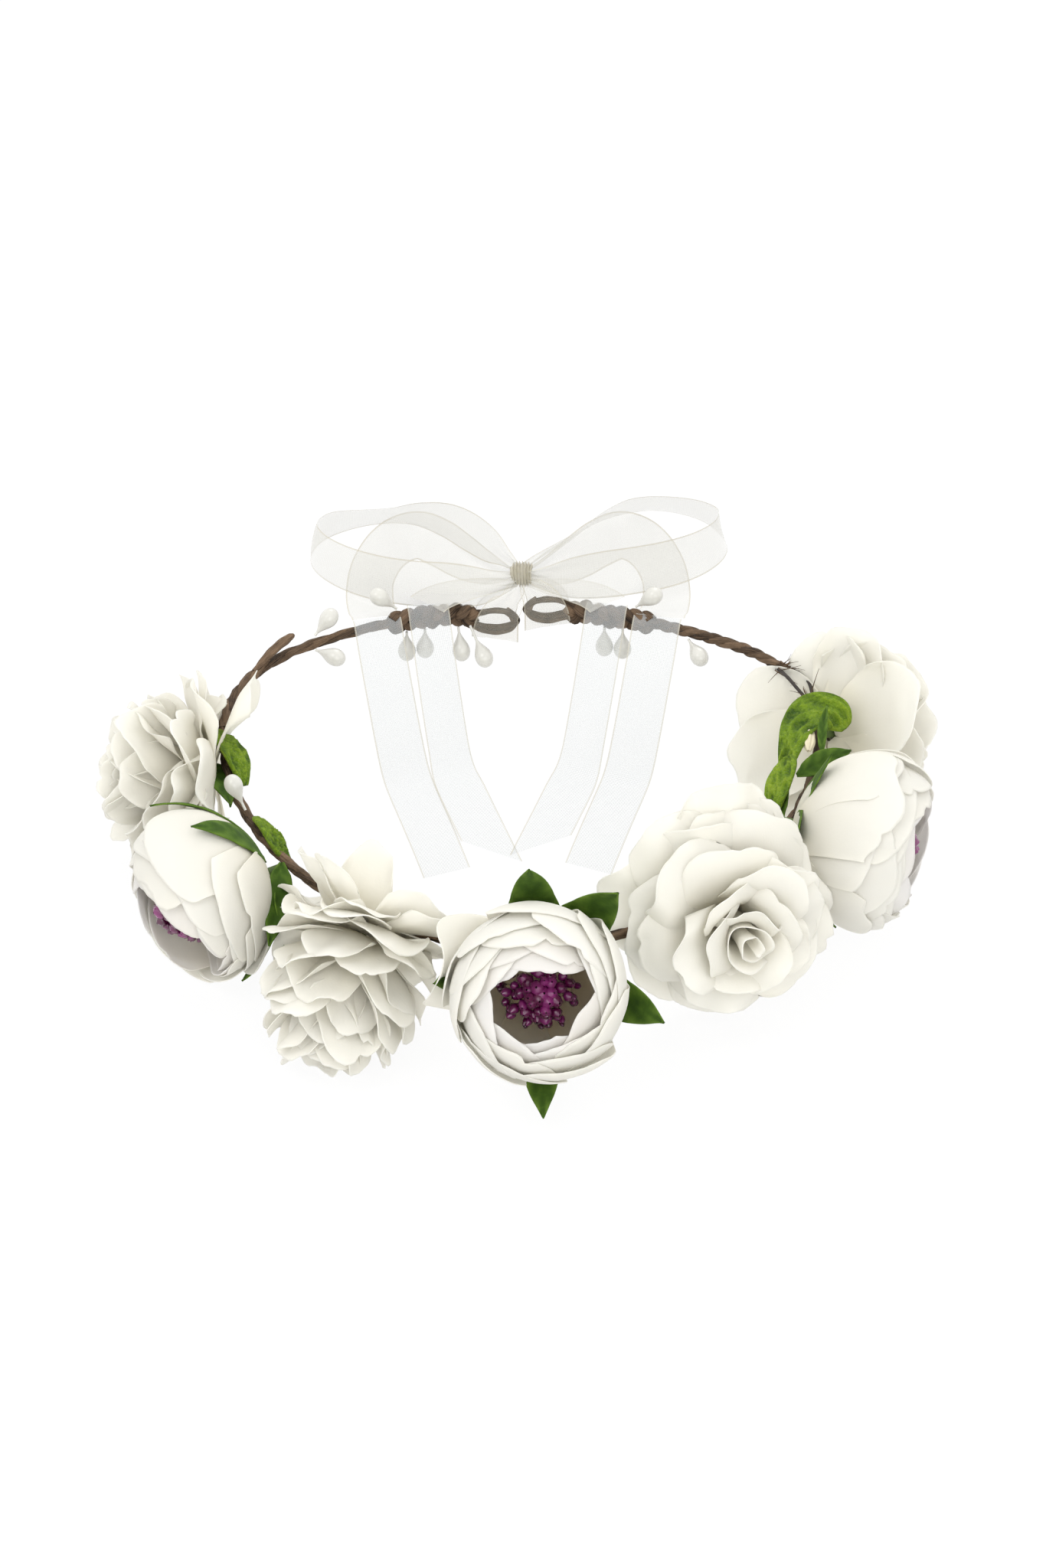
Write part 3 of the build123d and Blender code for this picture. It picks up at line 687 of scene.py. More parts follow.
def globe_ring(builder, flower, rng, count, spin, radius, opening, width, drift, tint, slant):
    """A ring of petals that follow a globe from its foot up to the opening (polar degrees).
    slant is the side on which the petals are shorter, and by how many degrees."""
    area = 0.0
    for index in range(count):
        size = radius * (1.0 + rng.uniform(-0.015, 0.015))
        where = spin + (index + rng.uniform(-0.16, 0.16)) * 360.0 / count
        low = max(-0.25, math.cos(math.radians(where - slant[0])))
        rim = opening + rng.uniform(-drift, drift) + slant[1] * low
        arc = math.radians(180.0 - rim)
        area += petal(
            builder, flower, rng, where, **GLOBE_FINENESS, hub=0.4, rise=GLOBE - size,
            length=size * arc, width=width * rng.uniform(0.92, 1.06), angle=0.0, bend=180.0 - rim,
            taper=0.55, round=0.16 + rng.uniform(-0.03, 0.04), cup=0.96 / size, flare=0.90 / size,
            curl=0.8 + rng.uniform(-0.3, 0.5), ruffle=0.15, crease=0.20, ragged=0.35,
            lean=0.075 + rng.uniform(-0.02, 0.02),
            notch=rng.uniform(0.02, 0.05) if rng.random() < 0.4 else 0.0, tint=tint)
    return area


# each ring's petals, spin, radius, opening, half width, drift of the rim and tint; the tint is lower for the
# inner rings, painted shade deeper in the globe
GLOBE_KEYS = ("count", "spin", "radius", "opening", "width", "drift", "tint")
GLOBE_RINGS = {
    "outer": [(5, 20, 25.3, 66, 19.5, 9, 0.06), (5, 52, 24.4, 56, 18.5, 7, 0.04)],
    "middle": [(5, 5, 23.5, 49, 17.5, 5, 0.02), (5, 40, 22.6, 43, 16.5, 4, 0.0)],
    "inner": [(4, 15, 21.7, 38, 17.0, 3, 0.0), (4, 60, 20.8, 33, 16.0, 3, -0.06)],
}


def build_stamens(flower, seed, count, raised, material, pale):
    """Lacquered teardrops on fine stalks round a pale dome."""
    rng = np.random.default_rng(seed)
    builder, stalks = Builder(), Builder()
    rings, sides = 7, 8
    golden = math.pi * (3.0 - math.sqrt(5.0))
    for index in range(count):
        share = (index + 0.5) / count
        spread = 11.0 * math.sqrt(share) + rng.uniform(-0.7, 0.7)
        turn = index * golden + rng.uniform(-0.3, 0.3)
        out = np.array([math.cos(turn), math.sin(turn), 0.0])
        tip = out * spread + UP * (30.0 + raised - 0.075 * spread ** 2 + rng.uniform(-1.8, 1.2))
        foot = out * spread * 0.30 + UP * 13.0
        along = unit(tip - foot + out * rng.uniform(0.0, 6.0) + rng.uniform(-2.0, 2.0, 3))
        side = unit(np.cross(along, out[[1, 2, 0]] + 0.1))
        other = np.cross(along, side)
        length = rng.uniform(4.2, 6.2) * (1.1 - 0.25 * share)
        girth = rng.uniform(0.85, 1.25) * (2.0 - share)
        rise = np.linspace(0.0, 1.0, rings)[:, None]
        around = np.linspace(0, TAU, sides, endpoint=False)[None, :]
        thick = girth * np.sin(rise ** 1.35 * math.pi * 0.98) ** 0.75 + 0.04
        thick = thick * (1.0 + 0.12 * wavy(rng, around, rise * 3.0, 3, 2.0))
        grid = tip + (rise - 0.5)[..., None] * length * along \
            + (thick * np.cos(around))[..., None] * side + (thick * np.sin(around))[..., None] * other
        tint = 0.25 + 0.45 * rise + rng.uniform(-0.2, 0.3) + 0 * around
        builder.add_grid(flower.place(grid)[:, ::-1] * MM, np.zeros((rings, sides, 2)), tint,
                         close_columns=True)
        path = np.linspace(foot, tip - along * length * 0.45, 5)
        path[1:-1] += rng.uniform(-0.5, 0.5, (3, 3))
        add_tube(stalks, flower.place(path), 0.16, 5, tint=0.7)
    u = np.linspace(0.0, math.pi / 2, 12)[:, None]
    v = np.linspace(0, TAU, 40, endpoint=False)[None, :]
    lumps = 1.0 + 0.03 * wavy(rng, v, u * 4.0, 5, 6.0)
    wide = 9.6 * lumps * np.cos(u)
    dome = np.stack([wide * np.cos(v), wide * np.sin(v), 8.0 + 11.0 * lumps * np.sin(u)], -1)
    stalks.add_grid(flower.place(dome) * MM, np.zeros(dome.shape[:2] + (2,)), 0.3, close_columns=True)
    show(builder, flower.name + "_stamen_beads", material, "stamen_lacquer", flower.name + "_stamens")
    show(stalks, flower.name + "_stamen_stalks", pale, "bud_cream")


def leaf_outline(u):
    """Half width of a pointed leaf along its length: widest a bit under half way."""
    return np.interp(u, [0.0, 0.15, 0.35, 0.5, 0.7, 0.85, 0.95, 1.0],
                     [0.12, 0.65, 0.97, 1.0, 0.78, 0.44, 0.16, 0.02])


def leaf_net():
    """Along and across a leaf, then its toothed edge, its raised veins and its tint."""
    u = np.linspace(0.0, 1.0, 22)[:, None]
    v = np.linspace(-1.0, 1.0, 15)[None, :]
    ribs = np.cos((u * 9.0 - np.abs(v) * 1.6) * math.pi)
    teeth = 1.0 + 0.03 * np.sin(u * 110.0) * np.abs(v) ** 6
    return u, v, teeth, 0.132 * ribs * (1.0 - np.abs(v) ** 3), 0.45 + 0.35 * v ** 2 - 0.12 * ribs


def leaf(builder, rng, base, tip, bow, width, face, curl=0.0):
    """A pointed, ridged leaf from base to tip (mm).  face is the way its upper side looks."""
    base, tip = np.array(base), np.array(tip)
    length = np.linalg.norm(tip - base)
    along = (tip - base) / length
    side = unit(np.cross(face, along))
    u, v, teeth, veins, tint = leaf_net()
    across = leaf_outline(u) * width / 2.0 * v * (teeth + rng.uniform(-0.02, 0.02, tint.shape) * v ** 8)
    fold = 0.26 * np.abs(across) - 0.02 * across ** 2
    ripple = wavy(rng, u * 3.0, v, 4, 2.2) * 0.35
    lift = bow * np.sin(u * math.pi) + fold + veins * np.abs(v) ** 0.5 + ripple + curl * u ** 3 * length * 0.3
    grid = base + (u * length)[..., None] * along + across[..., None] * side \
        + lift[..., None] * np.cross(along, side)
    uv = np.stack([u * length + 0 * v, across], -1)
    builder.add_slab(rest_on_floor(grid) * MM, uv, LEAF_THICK * MM, tint)
    return grid_area(uv)


def sepal(builder, flower, rng, spin, reach, width, lift, start=14.0):
    """A leaf lying on the back of a globe, its tip standing off the petals."""
    u, v, teeth, veins, tint = leaf_net()
    polar = np.radians(start + (reach - start) * u)
    across = leaf_outline(0.08 + 0.92 * u) * width / 2.0 * v * teeth
    stand = GLOBE + 1.5 + lift * (np.clip(u - 0.35, 0.0, 1.0) / 0.65) ** 1.8 \
        + wavy(rng, u * 3.0, v, 4, 2.0) * 0.3 + 0.04 * np.abs(across) + veins
    out, tangent = spokes(spin)
    radial = stand * np.sin(polar)
    bend = across / stand
    local = (radial * np.cos(bend))[..., None] * out + (stand * np.sin(bend))[..., None] * tangent
    local[..., 2] += GLOBE - stand * np.cos(polar)
    uv = np.stack([u * GLOBE * math.radians(reach - start) + 0 * v, across], -1)
    builder.add_slab(flower.place(local)[:, ::-1] * MM, uv[:, ::-1], LEAF_THICK * MM, tint[:, ::-1])
    return grid_area(uv)


# ======================================================================================
# The seven flowers
# ======================================================================================
outer_cloth = petal_material("petal cloth", (0.84, 0.79, 0.62), (0.91, 0.885, 0.80), (0.93, 0.92, 0.875))
# inner petals: a warm hub colour, partly their own tone and partly painted shade and bounce light inside the
# globe
inner_cloth_with_painted_shade = petal_material("inner petal cloth", (0.90, 0.75, 0.49), (0.93, 0.885, 0.78), (0.93, 0.92, 0.90))
ROSE_CLOTH = {layer: (outer_cloth, "petal_cloth") for layer in LAYERS}
RANUNCULUS_CLOTH = {**ROSE_CLOTH, "inner": (inner_cloth_with_painted_shade, "inner_petal_cloth")}
leaf_cloth = leaf_material()
lime_felt = felt_material()
lacquer = stamen_material()
cream = plain_material("bud cream", (0.78, 0.70, 0.50), 0.55)
ROSE_STEM_TOP, RANUNCULUS_STEM_TOP = 10.5, 9.0
STAMENS = 64


def cap_petal(spin, opening, radius, width, **shape):
    """One more petal on the globe, reaching to its own polar angle."""
    reach = 180.0 - opening
    usual = dict(hub=0.4, rise=GLOBE - radius, length=radius * math.radians(reach), width=width,
                 angle=0.0, bend=reach, taper=0.55, round=0.16, cup=0.96 / radius,
                 flare=0.92 / radius, curl=0.5, ruffle=0.3, crease=0.3)
    return spin, {**usual, **shape}


# each rose: which way it faces (azimuth, elevation), seed, layers, odd petals
ROSES = {
    "rose_left_back": (180, 0, 11, SCALE_ROSE, LEFT_BACK_ODD),
    "rose_front_left": (245, -42, 12, DROOPING_ROSE, FRONT_LEFT_ODD),
    "rose_front_right": (-72, 14, 13, OPEN_ROSE, FRONT_RIGHT_ODD),
    "rose_right_back": (46, -29, 14, SPLAYED_ROSE, RIGHT_BACK_ODD),
}
for name, (azimuth, elevation, seed, layers, odd) in ROSES.items():
    flower = Flower(name, azimuth, elevation, ROSE_STEM_TOP)
    build_petals(flower, seed, layers, odd, ROSE_CLOTH, ring, rolled_heart)

# each ranunculus: azimuth, elevation, how deep it is, seed, the side where it stands open and by
# how much, how far its stamens come up, odd petals, leaves
# each leaf: spin, how far round the globe (degrees), width, how far the tip stands off
RANUNCULUS = {
    "ranunculus_left": (
        200, -10, 0.84, 21, (66, 50), 9.0, {"middle": [cap_petal(176, 34, 23.8, 17.0)]},
        [(215, 100, 10, 5), (176, 84, 10, 3), (20, 80, 12, 4), (70, 52, 12, 6), (290, 80, 12, 4)]),
    "ranunculus_front": (
        -90, 27, 1.0, 22, (0, -9), 1.0,
        {"inner": [cap_petal(178, 24, 20.3, 16.0), cap_petal(222, 30, 19.9, 14.0),
                   cap_petal(8, 24, 20.4, 17.0)],
         "outer": [cap_petal(258, 88, 26.6, 15.0, curl=3.0, flare=-0.03, ruffle=2.0, ragged=1.0,
                             round=0.42)]},
        [(184, 97, 16, 11), (143, 98, 17, 12), (78, 99, 15, 11), (2, 98, 14, 10), (265, 90, 12, 4)]),
    "ranunculus_right": (
        -12, -5, 0.88, 23, (262, 4), 8.0,
        {"outer": [cap_petal(205, 70, 26.6, 20.0, curl=1.5, notch=0.05),
                   cap_petal(250, 60, 26.0, 18.5), cap_petal(300, 74, 26.3, 16.0)]},
        [(180, 60, 10, 7), (235, 48, 11, 7), (290, 56, 11, 6), (345, 78, 11, 5), (110, 80, 11, 4)]),
}
for name, (azimuth, elevation, depth, seed, slant, raised, odd, leaves) in RANUNCULUS.items():
    flower = Flower(name, azimuth, elevation, RANUNCULUS_STEM_TOP, depth)
    layers = {layer: [dict(zip(GLOBE_KEYS, row), slant=slant) for row in GLOBE_RINGS[layer]]
              for layer in LAYERS}
    build_petals(flower, seed, layers, odd, RANUNCULUS_CLOTH, globe_ring, **GLOBE_FINENESS)
    build_stamens(flower, seed + 10, STAMENS, raised, lacquer, cream)
    builder, rng = Builder(), np.random.default_rng(seed + 20)
    area = sum(sepal(builder, flower, rng, *leaf_shape) for leaf_shape in leaves)
    show(builder, name + "_leaf_cloth", leaf_cloth, "leaf_cloth", name + "_leaves")


# ======================================================================================
# The vine: the oval of tangent arcs, then twisted paper strands round two steel wires
# ======================================================================================
WIRE_LOW, WIRE_HIGH = (np.array(corner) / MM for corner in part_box("frame_wire"))
WIRE_REACH = 1.2                            # from the vine's centre line to the wires' outside
HALF_WIDTH = (WIRE_HIGH[0] - WIRE_LOW[0]) / 2.0 - WIRE_REACH
FRONT_DEPTH = -WIRE_LOW[1] - WIRE_REACH
BACK_DEPTH = 60.0
BACK_CORNER, FRONT_CORNER = 48.0, 112.0     # radii of the oval's corner arcs
BRAID_START, BRAID_END = 38.0, 17.0         # the plaited stretch, either side of the middle


def main_arc(depth, corner):
    return (HALF_WIDTH ** 2 + depth ** 2 - 2.0 * HALF_WIDTH * corner) / (2.0 * (depth - corner))


BACK_RADIUS = main_arc(BACK_DEPTH, BACK_CORNER)
FRONT_RADIUS = main_arc(FRONT_DEPTH, FRONT_CORNER)
BACK_Y = BACK_DEPTH - BACK_RADIUS
FRONT_Y = FRONT_RADIUS - FRONT_DEPTH


def back_y(x):
    return BACK_Y + math.sqrt(BACK_RADIUS ** 2 - x ** 2)


def oval():
    """The vine's centre line from the left eye, round the front, to the right eye."""
    back_meet = math.atan2(-BACK_Y, HALF_WIDTH - BACK_CORNER)
    front_meet = math.atan2(-FRONT_Y, FRONT_CORNER - HALF_WIDTH)
    start = math.pi / 2 + math.asin(BRAID_END / BACK_RADIUS)
    arcs = [
        (0.0, BACK_Y, BACK_RADIUS, start, math.pi - back_meet),
        (BACK_CORNER - HALF_WIDTH, 0.0, BACK_CORNER, math.pi - back_meet, math.pi),
        (FRONT_CORNER - HALF_WIDTH, 0.0, FRONT_CORNER, math.pi, math.pi + front_meet),
        (0.0, FRONT_Y, FRONT_RADIUS, math.pi + front_meet, TAU - front_meet),
        (HALF_WIDTH - FRONT_CORNER, 0.0, FRONT_CORNER, -front_meet, 0.0),
        (HALF_WIDTH - BACK_CORNER, 0.0, BACK_CORNER, 0.0, back_meet),
        (0.0, BACK_Y, BACK_RADIUS, back_meet, math.pi - start),
    ]
    pieces = []
    for x, y, radius, first, last in arcs:
        turn = np.linspace(first, last, max(8, int(abs(last - first) * radius)), endpoint=False)
        pieces.append(np.stack([x + radius * np.cos(turn), y + radius * np.sin(turn), 0 * turn], 1))
    return np.vstack(pieces)


VINE = oval()
VINE_RUN = run_of(VINE)


def vine_span(first, last, step=0.5):
    """Points, sideways vectors and distances along the vine between two distances (mm)."""
    travelled = np.arange(first, last + step / 2.0, step)
    points = np.stack([np.interp(travelled, VINE_RUN, VINE[:, k]) for k in range(3)], 1)
    return points, np.cross(unit(np.gradient(points, axis=0)), UP), travelled


def vine_near(x, y):
    """Distance along the vine at which it passes nearest a point."""
    return VINE_RUN[int(np.argmin(np.linalg.norm(VINE[:, :2] - [x, y], axis=1)))]


def corner_at(degrees):
    """Distance along the vine at an angle of its right back corner."""
    turn = math.radians(degrees)
    return vine_near(HALF_WIDTH - BACK_CORNER + BACK_CORNER * math.cos(turn), BACK_CORNER * math.sin(turn))


def crumple(seed, depth=0.27):
    """Lengthwise ridges and dents of a strip of crumpled paper."""
    rng = np.random.default_rng(seed)
    phases = rng.uniform(0, TAU, 5)

    def ridge(along, around):
        crest = np.abs(np.sin(2.5 * around + 0.10 * along + phases[0]))
        dents = np.sin(0.9 * along + 2 * around + phases[1]) * np.sin(0.37 * along + phases[2])
        fine = np.sin(6 * around + phases[3] + 0.5 * np.sin(0.8 * along + phases[4]))
        return 1.0 + depth * (crest - 0.5) + 0.45 * depth * dents + 0.3 * depth * fine
    return ridge


def twist_strands(builder, first, last, seed, strands=3, offset=0.60, radius=1.02, pitch=24.0):
    """Strips of paper twisted round each other along a stretch of the vine."""
    rng = np.random.default_rng(seed)
    points, side, travelled = vine_span(first, last, 0.6)
    wander = np.cumsum(rng.normal(0, 0.03, len(travelled)))
    for index in range(strands):
        turn = TAU * (travelled / pitch + index / strands) + wander
        path = points + (offset * np.cos(turn))[:, None] * side + (offset * np.sin(turn))[:, None] * UP
        thick = radius * (1.0 + 0.10 * np.sin(travelled * 0.31 + index * 2.0))
        add_tube(builder, path, thick, 14, 0.35 + 0.15 * index, crumple(seed * 7 + index), 0.85)


def fray(builder, centre, along, rng, count, length, radius=0.22, tint=0.6):
    """Torn fibres that fan out of a cut end."""
    along = unit(np.asarray(along, float))
    t = np.linspace(0, 1, 7)[:, None]
    for _ in range(count):
        reach = rng.uniform(0.4, 1.0) * length
        way = unit(along + rng.normal(0, 0.45, 3))
        bend = rng.normal(0, 0.35, 3)
        root = centre + rng.normal(0, 0.55, 3)
        path = root + way * reach * t + bend * reach * t ** 2
        add_tube(builder, path, radius * (1.0 - 0.75 * t[:, 0]) * rng.uniform(0.6, 1.4), 5, tint)


LEFT_BRAID = vine_near(-BRAID_START, back_y(BRAID_START))
RIGHT_BRAID = vine_near(BRAID_START, back_y(BRAID_START))
TWIG_END, FRAYED_END = corner_at(17.0), corner_at(40.0)
FRONT_START = vine_near(-HALF_WIDTH, 0.0)
# a stub of twisted paper that stands out of the vine on the left
STUB = [(-81.5, 27.5, 1.2), (-77.5, 32.6, 3.2), (-73.5, 36.6, 4.8), (-69.6, 39.8, 6.0)]
STUB_GIRTH = [0, 0.3, 0.8, 0.95, 1], [0.8, 1.25, 1.6, 1.3, 0.5]


def build_vine(paper, steel):
    rng = np.random.default_rng(5)
    left, front, right, wires = (Builder() for _ in range(4))
    twist_strands(left, LEFT_BRAID - 2.0, FRONT_START, 51, pitch=27.0)
    add_tube(left, spline(STUB, 26), np.interp(np.linspace(0, 1, 26), *STUB_GIRTH), 12, 0.6,
             crumple(77, 0.25), 0.6)
    twist_strands(front, FRONT_START, TWIG_END, 52, pitch=30.0)
    fray(front, vine_span(TWIG_END, TWIG_END + 1)[0][0], [-0.3, 1.0, 0.4], rng, 10, 7.0)
    twist_strands(right, FRAYED_END, RIGHT_BRAID + 2.0, 53, pitch=14.0, offset=0.75, radius=0.98)
    end, _, _ = vine_span(FRAYED_END, FRAYED_END + 2)
    fray(right, end[0], end[0] - end[2] + [0.3, 0, 0.2], rng, 26, 8.0)
    fray(right, end[0] + WIRE_REACH * UP, end[0] - end[2], rng, 7, 5.0, 0.5, 0.75)
    for wrap, name in ((left, "left"), (front, "front"), (right, "right")):
        show(wrap, f"paper_strands_{name}", paper, "vine_paper", f"paper_wrap_{name}")
    points, side, travelled = vine_span(LEFT_BRAID, RIGHT_BRAID, 0.8)
    gap = smooth(TWIG_END - 2, TWIG_END + 9, travelled) \
        * (1.0 - smooth(FRAYED_END - 9, FRAYED_END + 2, travelled))
    for hand in (-1, 1):
        lift = UP * (gap * (1.6 + 0.6 * hand * np.sin(travelled * 0.2)))[:, None]
        add_tube(wires, points + side * (hand * (0.65 + 2.0 * gap))[:, None] + lift, 0.55, 8)
    show(wires, "frame_wires", steel, "steel_wire", "frame_wire")


def build_braid(hand, sign, z, paper, seed):
    """A three-strand plait that opens into the eye, at height z: its strands run out and round."""
    rng = np.random.default_rng(seed)
    plait, eye = Builder(), Builder()
    x = np.linspace(BRAID_START + 2.0, BRAID_END - 3.0, 60)
    centre = np.array([[sign * v, back_y(v), 0.0] for v in x])
    centre[:, 2] += 0.35 * z * smooth(BRAID_END + 10, BRAID_END - 3, x)
    for strand in range(3):
        phase = (x - x[0]) / 11.0 * TAU + strand * TAU / 3.0
        path = centre.copy()
        path[:, 2] += 2.05 * np.sin(phase)
        path[:, 1] += 1.35 * np.sin(2.0 * phase)
        add_tube(plait, path, 1.75, 16, 0.35 + 0.13 * strand, crumple(seed + strand, 0.2), 0.72)
    show(plait, f"braid_strands_{hand}", paper, "vine_paper", f"braid_{hand}")
    y = back_y(8.0)
    upper = [(17.5, y - 1.5, 0.5 * z + 1.5), (13.0, y - 1.2, z + 3.6), (8.0, y - 0.8, z + 4.1),
             (3.4, y - 0.4, z + 2.9), (1.2, y, z - 0.2), (3.4, y + 0.4, z - 2.2), (8.0, y + 0.3, z - 2.9),
             (13.0, y - 0.4, z - 1.6), (17.5, y - 1.2, 0.5 * z)]
    lower = [(17.5, y - 0.6, 0.5 * z - 1.0), (13.0, y, z - 3.4), (8.0, y + 0.2, z - 4.9),
             (3.6, y + 0.2, z - 3.8), (1.8, y + 0.2, z - 1.2), (2.2, y + 0.3, z + 1.4),
             (4.6, y + 0.9, z + 3.4)]
    outer = [(17.5, y + 1.0, 0.5 * z + 0.4), (12.0, y + 1.4, z + 2.2), (7.0, y + 1.5, z + 2.7),
             (3.6, y + 1.2, z + 1.2), (2.6, y + 1.1, z - 1.2)]
    for index, route in enumerate((upper, lower, outer)):
        path = spline([(sign * a, b + rng.uniform(-0.15, 0.15), c) for a, b, c in route], 90)
        add_tube(eye, path, 0.98 - 0.10 * index, 12, 0.3 + 0.14 * index,
                 crumple(seed + 10 + index, 0.2), 0.85)
    show(eye, f"eye_strands_{hand}", paper, "vine_paper", f"end_loop_{hand}")


# ======================================================================================
# Organza ribbon.  Each stretch follows a route of listed points, in mm.
# ======================================================================================
def strip(route, widths, width_way, columns, cup=0.0, pleats=0.0, seed=0, sag=0.25):
    """A sheet of ribbon along a route.  width_way is a vector across it at each point."""
    rng = np.random.default_rng(seed)
    tangent = unit(np.gradient(route, axis=0))
    width_way = unit(width_way)
    width_way = unit(width_way - tangent * np.sum(width_way * tangent, axis=1, keepdims=True))
    normal = np.cross(tangent, width_way)
    travelled = run_of(route)[:, None]
    v = np.linspace(-1.0, 1.0, columns)[None, :]
    widths = widths[:, None]
    gather = np.clip(1.0 - widths / RIBBON, 0.0, 1.0)
    t = travelled / 12.0
    wrinkle = wavy(rng, t, v * 0.8, 5, 1.3) * sag + wavy(rng, t * 0.5, v * 2.5, 4, 3.0) * pleats * gather
    fold = np.sin(v * 9.0 + 1.3 * np.sin(t * 0.6)) * pleats * gather
    offset = wrinkle + fold + cup * (v ** 2 - 0.33)
    grid = route[:, None] + (widths / 2.0 * v)[..., None] * width_way[:, None] \
        + offset[..., None] * normal[:, None]
    return grid, np.stack(np.broadcast_arrays(travelled, RIBBON / 2.0 * v), -1).copy()


def leaning(route, lean, inward):
    """Across-the-ribbon vectors that stand up and lean towards the inside of a loop."""
    inside = crosswise(route) * inward
    lean = np.radians(lean)[:, None]
    return np.cos(lean) * UP + np.sin(lean) * inside


def crosswise(route):
    """Level vectors across a ribbon that lies flat."""
    tangent = np.gradient(route, axis=0)
    return unit(np.stack([tangent[:, 1], -tangent[:, 0], 0 * tangent[:, 0]], 1))


# left loop and right loop: x, y, z, lean inwards in degrees, width
LOOP_LEFT = [
    (-1.0, 61.5, 11.5, 10, 3.5), (-6.0, 60.6, 10.2, 12, 7.5), (-13.0, 60.8, 8.6, 15, 12.5),
    (-22.0, 61.8, 7.9, 16, 15), (-33.0, 63.4, 7.6, 16, 15), (-44.0, 66.4, 7.4, 16, 15),
    (-54.5, 71.6, 7.6, 13, 15), (-62.0, 78.0, 8.2, 10, 15), (-64.4, 84.5, 9.0, 11, 15),
    (-60.0, 90.5, 10.2, 22, 15), (-49.0, 93.6, 11.2, 34, 15), (-37.0, 93.0, 12.6, 34, 15),
    (-27.0, 88.0, 14.6, 14, 15), (-18.0, 80.0, 16.6, -6, 15), (-10.0, 72.0, 16.4, -8, 13.5),
    (-4.0, 66.5, 14.4, 0, 7.5), (-1.0, 64.0, 12.6, 0, 3.5),
]
LOOP_RIGHT = [
    (1.0, 61.5, 12.2, 10, 3.5), (7.0, 61.0, 11.6, 12, 8.0), (15.0, 62.0, 11.0, 17, 13.0),
    (25.0, 63.6, 11.2, 19, 15), (36.0, 65.8, 11.4, 20, 15), (46.0, 69.2, 11.3, 18, 15),
    (55.0, 74.2, 11.6, 13, 15), (61.0, 80.5, 12.2, 10, 15), (61.5, 86.5, 13.2, 14, 15),
    (55.0, 91.8, 14.6, 28, 15), (43.5, 94.0, 15.6, 36, 15), (32.0, 91.2, 16.2, 36, 15),
    (22.5, 84.0, 16.4, 38, 14), (14.5, 76.0, 15.6, 40, 11), (7.0, 69.0, 14.4, 30, 7.5),
    (1.0, 64.0, 12.8, 10, 3.5),
]
# ears: x, y, z, width, lean; behind the loops they stand half up, then lie flat over the vine
EAR = [
    (1.5, 65.0, 10.6, 3.5, 15), (7.0, 69.0, 7.6, 8.0, 30), (13.0, 75.0, 5.8, 11.5, 42),
    (19.0, 82.0, 4.8, 14.0, 50), (25.0, 89.0, 4.2, 15.0, 50), (31.5, 93.8, 3.8, 15.0, 50),
    (37.5, 92.2, 3.4, 15.0, 48), (42.5, 86.5, 2.6, 15.0, 42), (46.0, 78.0, 0.8, 15.0, 30),
    (46.8, 69.5, -1.4, 15.0, 10), (46.0, 61.5, -0.8, 15.0, 2), (45.0, 55.8, 2.0, 15.0, 0),
    (44.5, 52.4, 3.1, 15.0, 0),
]
# the lead from the knot to an inner tail, which runs under the front of the loop
LEAD = [
    (1.5, 62.5, 8.8, 3.5), (8.0, 63.2, 7.0, 8.0), (16.0, 63.4, 5.4, 11.5), (22.5, 62.0, 4.8, 13.0),
    (27.0, 59.6, 4.4, 13.5), (29.0, 57.4, 4.3, 13.5),
]


def ribbon_piece(name, part, material, stands_for=True):
    """One stretch of ribbon from its strip."""
    grid, uv = part
    builder = Builder()
    builder.add_grid(grid * MM, uv)
    piece = builder.make(f"organza_{name}", material, "organza")
    if stands_for:
        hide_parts(f"ribbon_{name}")
    return piece


def build_loop(hand, sign, points, material, seed):
    rows = spline(points, 150)
    part = strip(rows[:, :3], rows[:, 4], leaning(rows[:, :3], rows[:, 3], -sign), 25, cup=0.5,
                 pleats=0.8, seed=seed)
    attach(ribbon_piece(f"loop_{hand}", part, material), "bow")


def build_ear(hand, sign, stretch, material, seed):
    """An ear, which is tied into the bow at one end and lies on the vine at the other."""
    rows = spline([(sign * x * stretch, *rest) for x, *rest in EAR], 120)
    lean = np.radians(rows[:, 4:5])
    way = np.cos(lean) * crosswise(rows[:, :3]) * -sign + np.sin(lean) * UP
    part = strip(rows[:, :3], rows[:, 3], way, 21, cup=0.4, pleats=0.9, seed=seed)
    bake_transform(ribbon_piece(f"ear_{hand}", part, material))


def build_lead(hand, sign, crossing, material, seed):
    """A lead; crossing is how far from the middle its tail crosses the vine."""
    rows = spline([(sign * x * crossing / LEAD[-1][0], *rest) for x, *rest in LEAD], 50)
    part = strip(rows[:, :3], rows[:, 3], crosswise(rows[:, :3]), 17, cup=0.5, pleats=0.8, seed=seed)
    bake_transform(ribbon_piece(f"lead_{hand}", part, material, stands_for=False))


# tails: x where it crosses the vine, its angle from straight ahead, where the end lies, how much
# the cut slants, its width at the vine, how much it turns on the floor
TAILS = {
    "left_outer": (-44.5, 14.0, 85.0, 2.0, 15.0, 0.0),
    "left_inner": (-29.0, 12.5, 86.0, -15.0, 13.0, 4.5),
    "right_inner": (26.5, -14.0, 84.0, 15.0, 13.0, -3.5),
    "right_outer": (42.0, -14.0, 84.0, -2.0, 15.0, 0.0),
}
# side view of a tail: distance from the vine's centre towards the inside, height
TAIL_SIDE = [
    (0.0, 3.1), (1.6, 2.7), (3.2, 1.3), (5.0, -1.2), (9.0, -5.8), (16.0, -13.2), (24.0, -21.6),
    (31.0, -28.2), (36.5, -31.3), (43.0, -32.2), (60.0, -32.3), (92.0, -32.3),
]


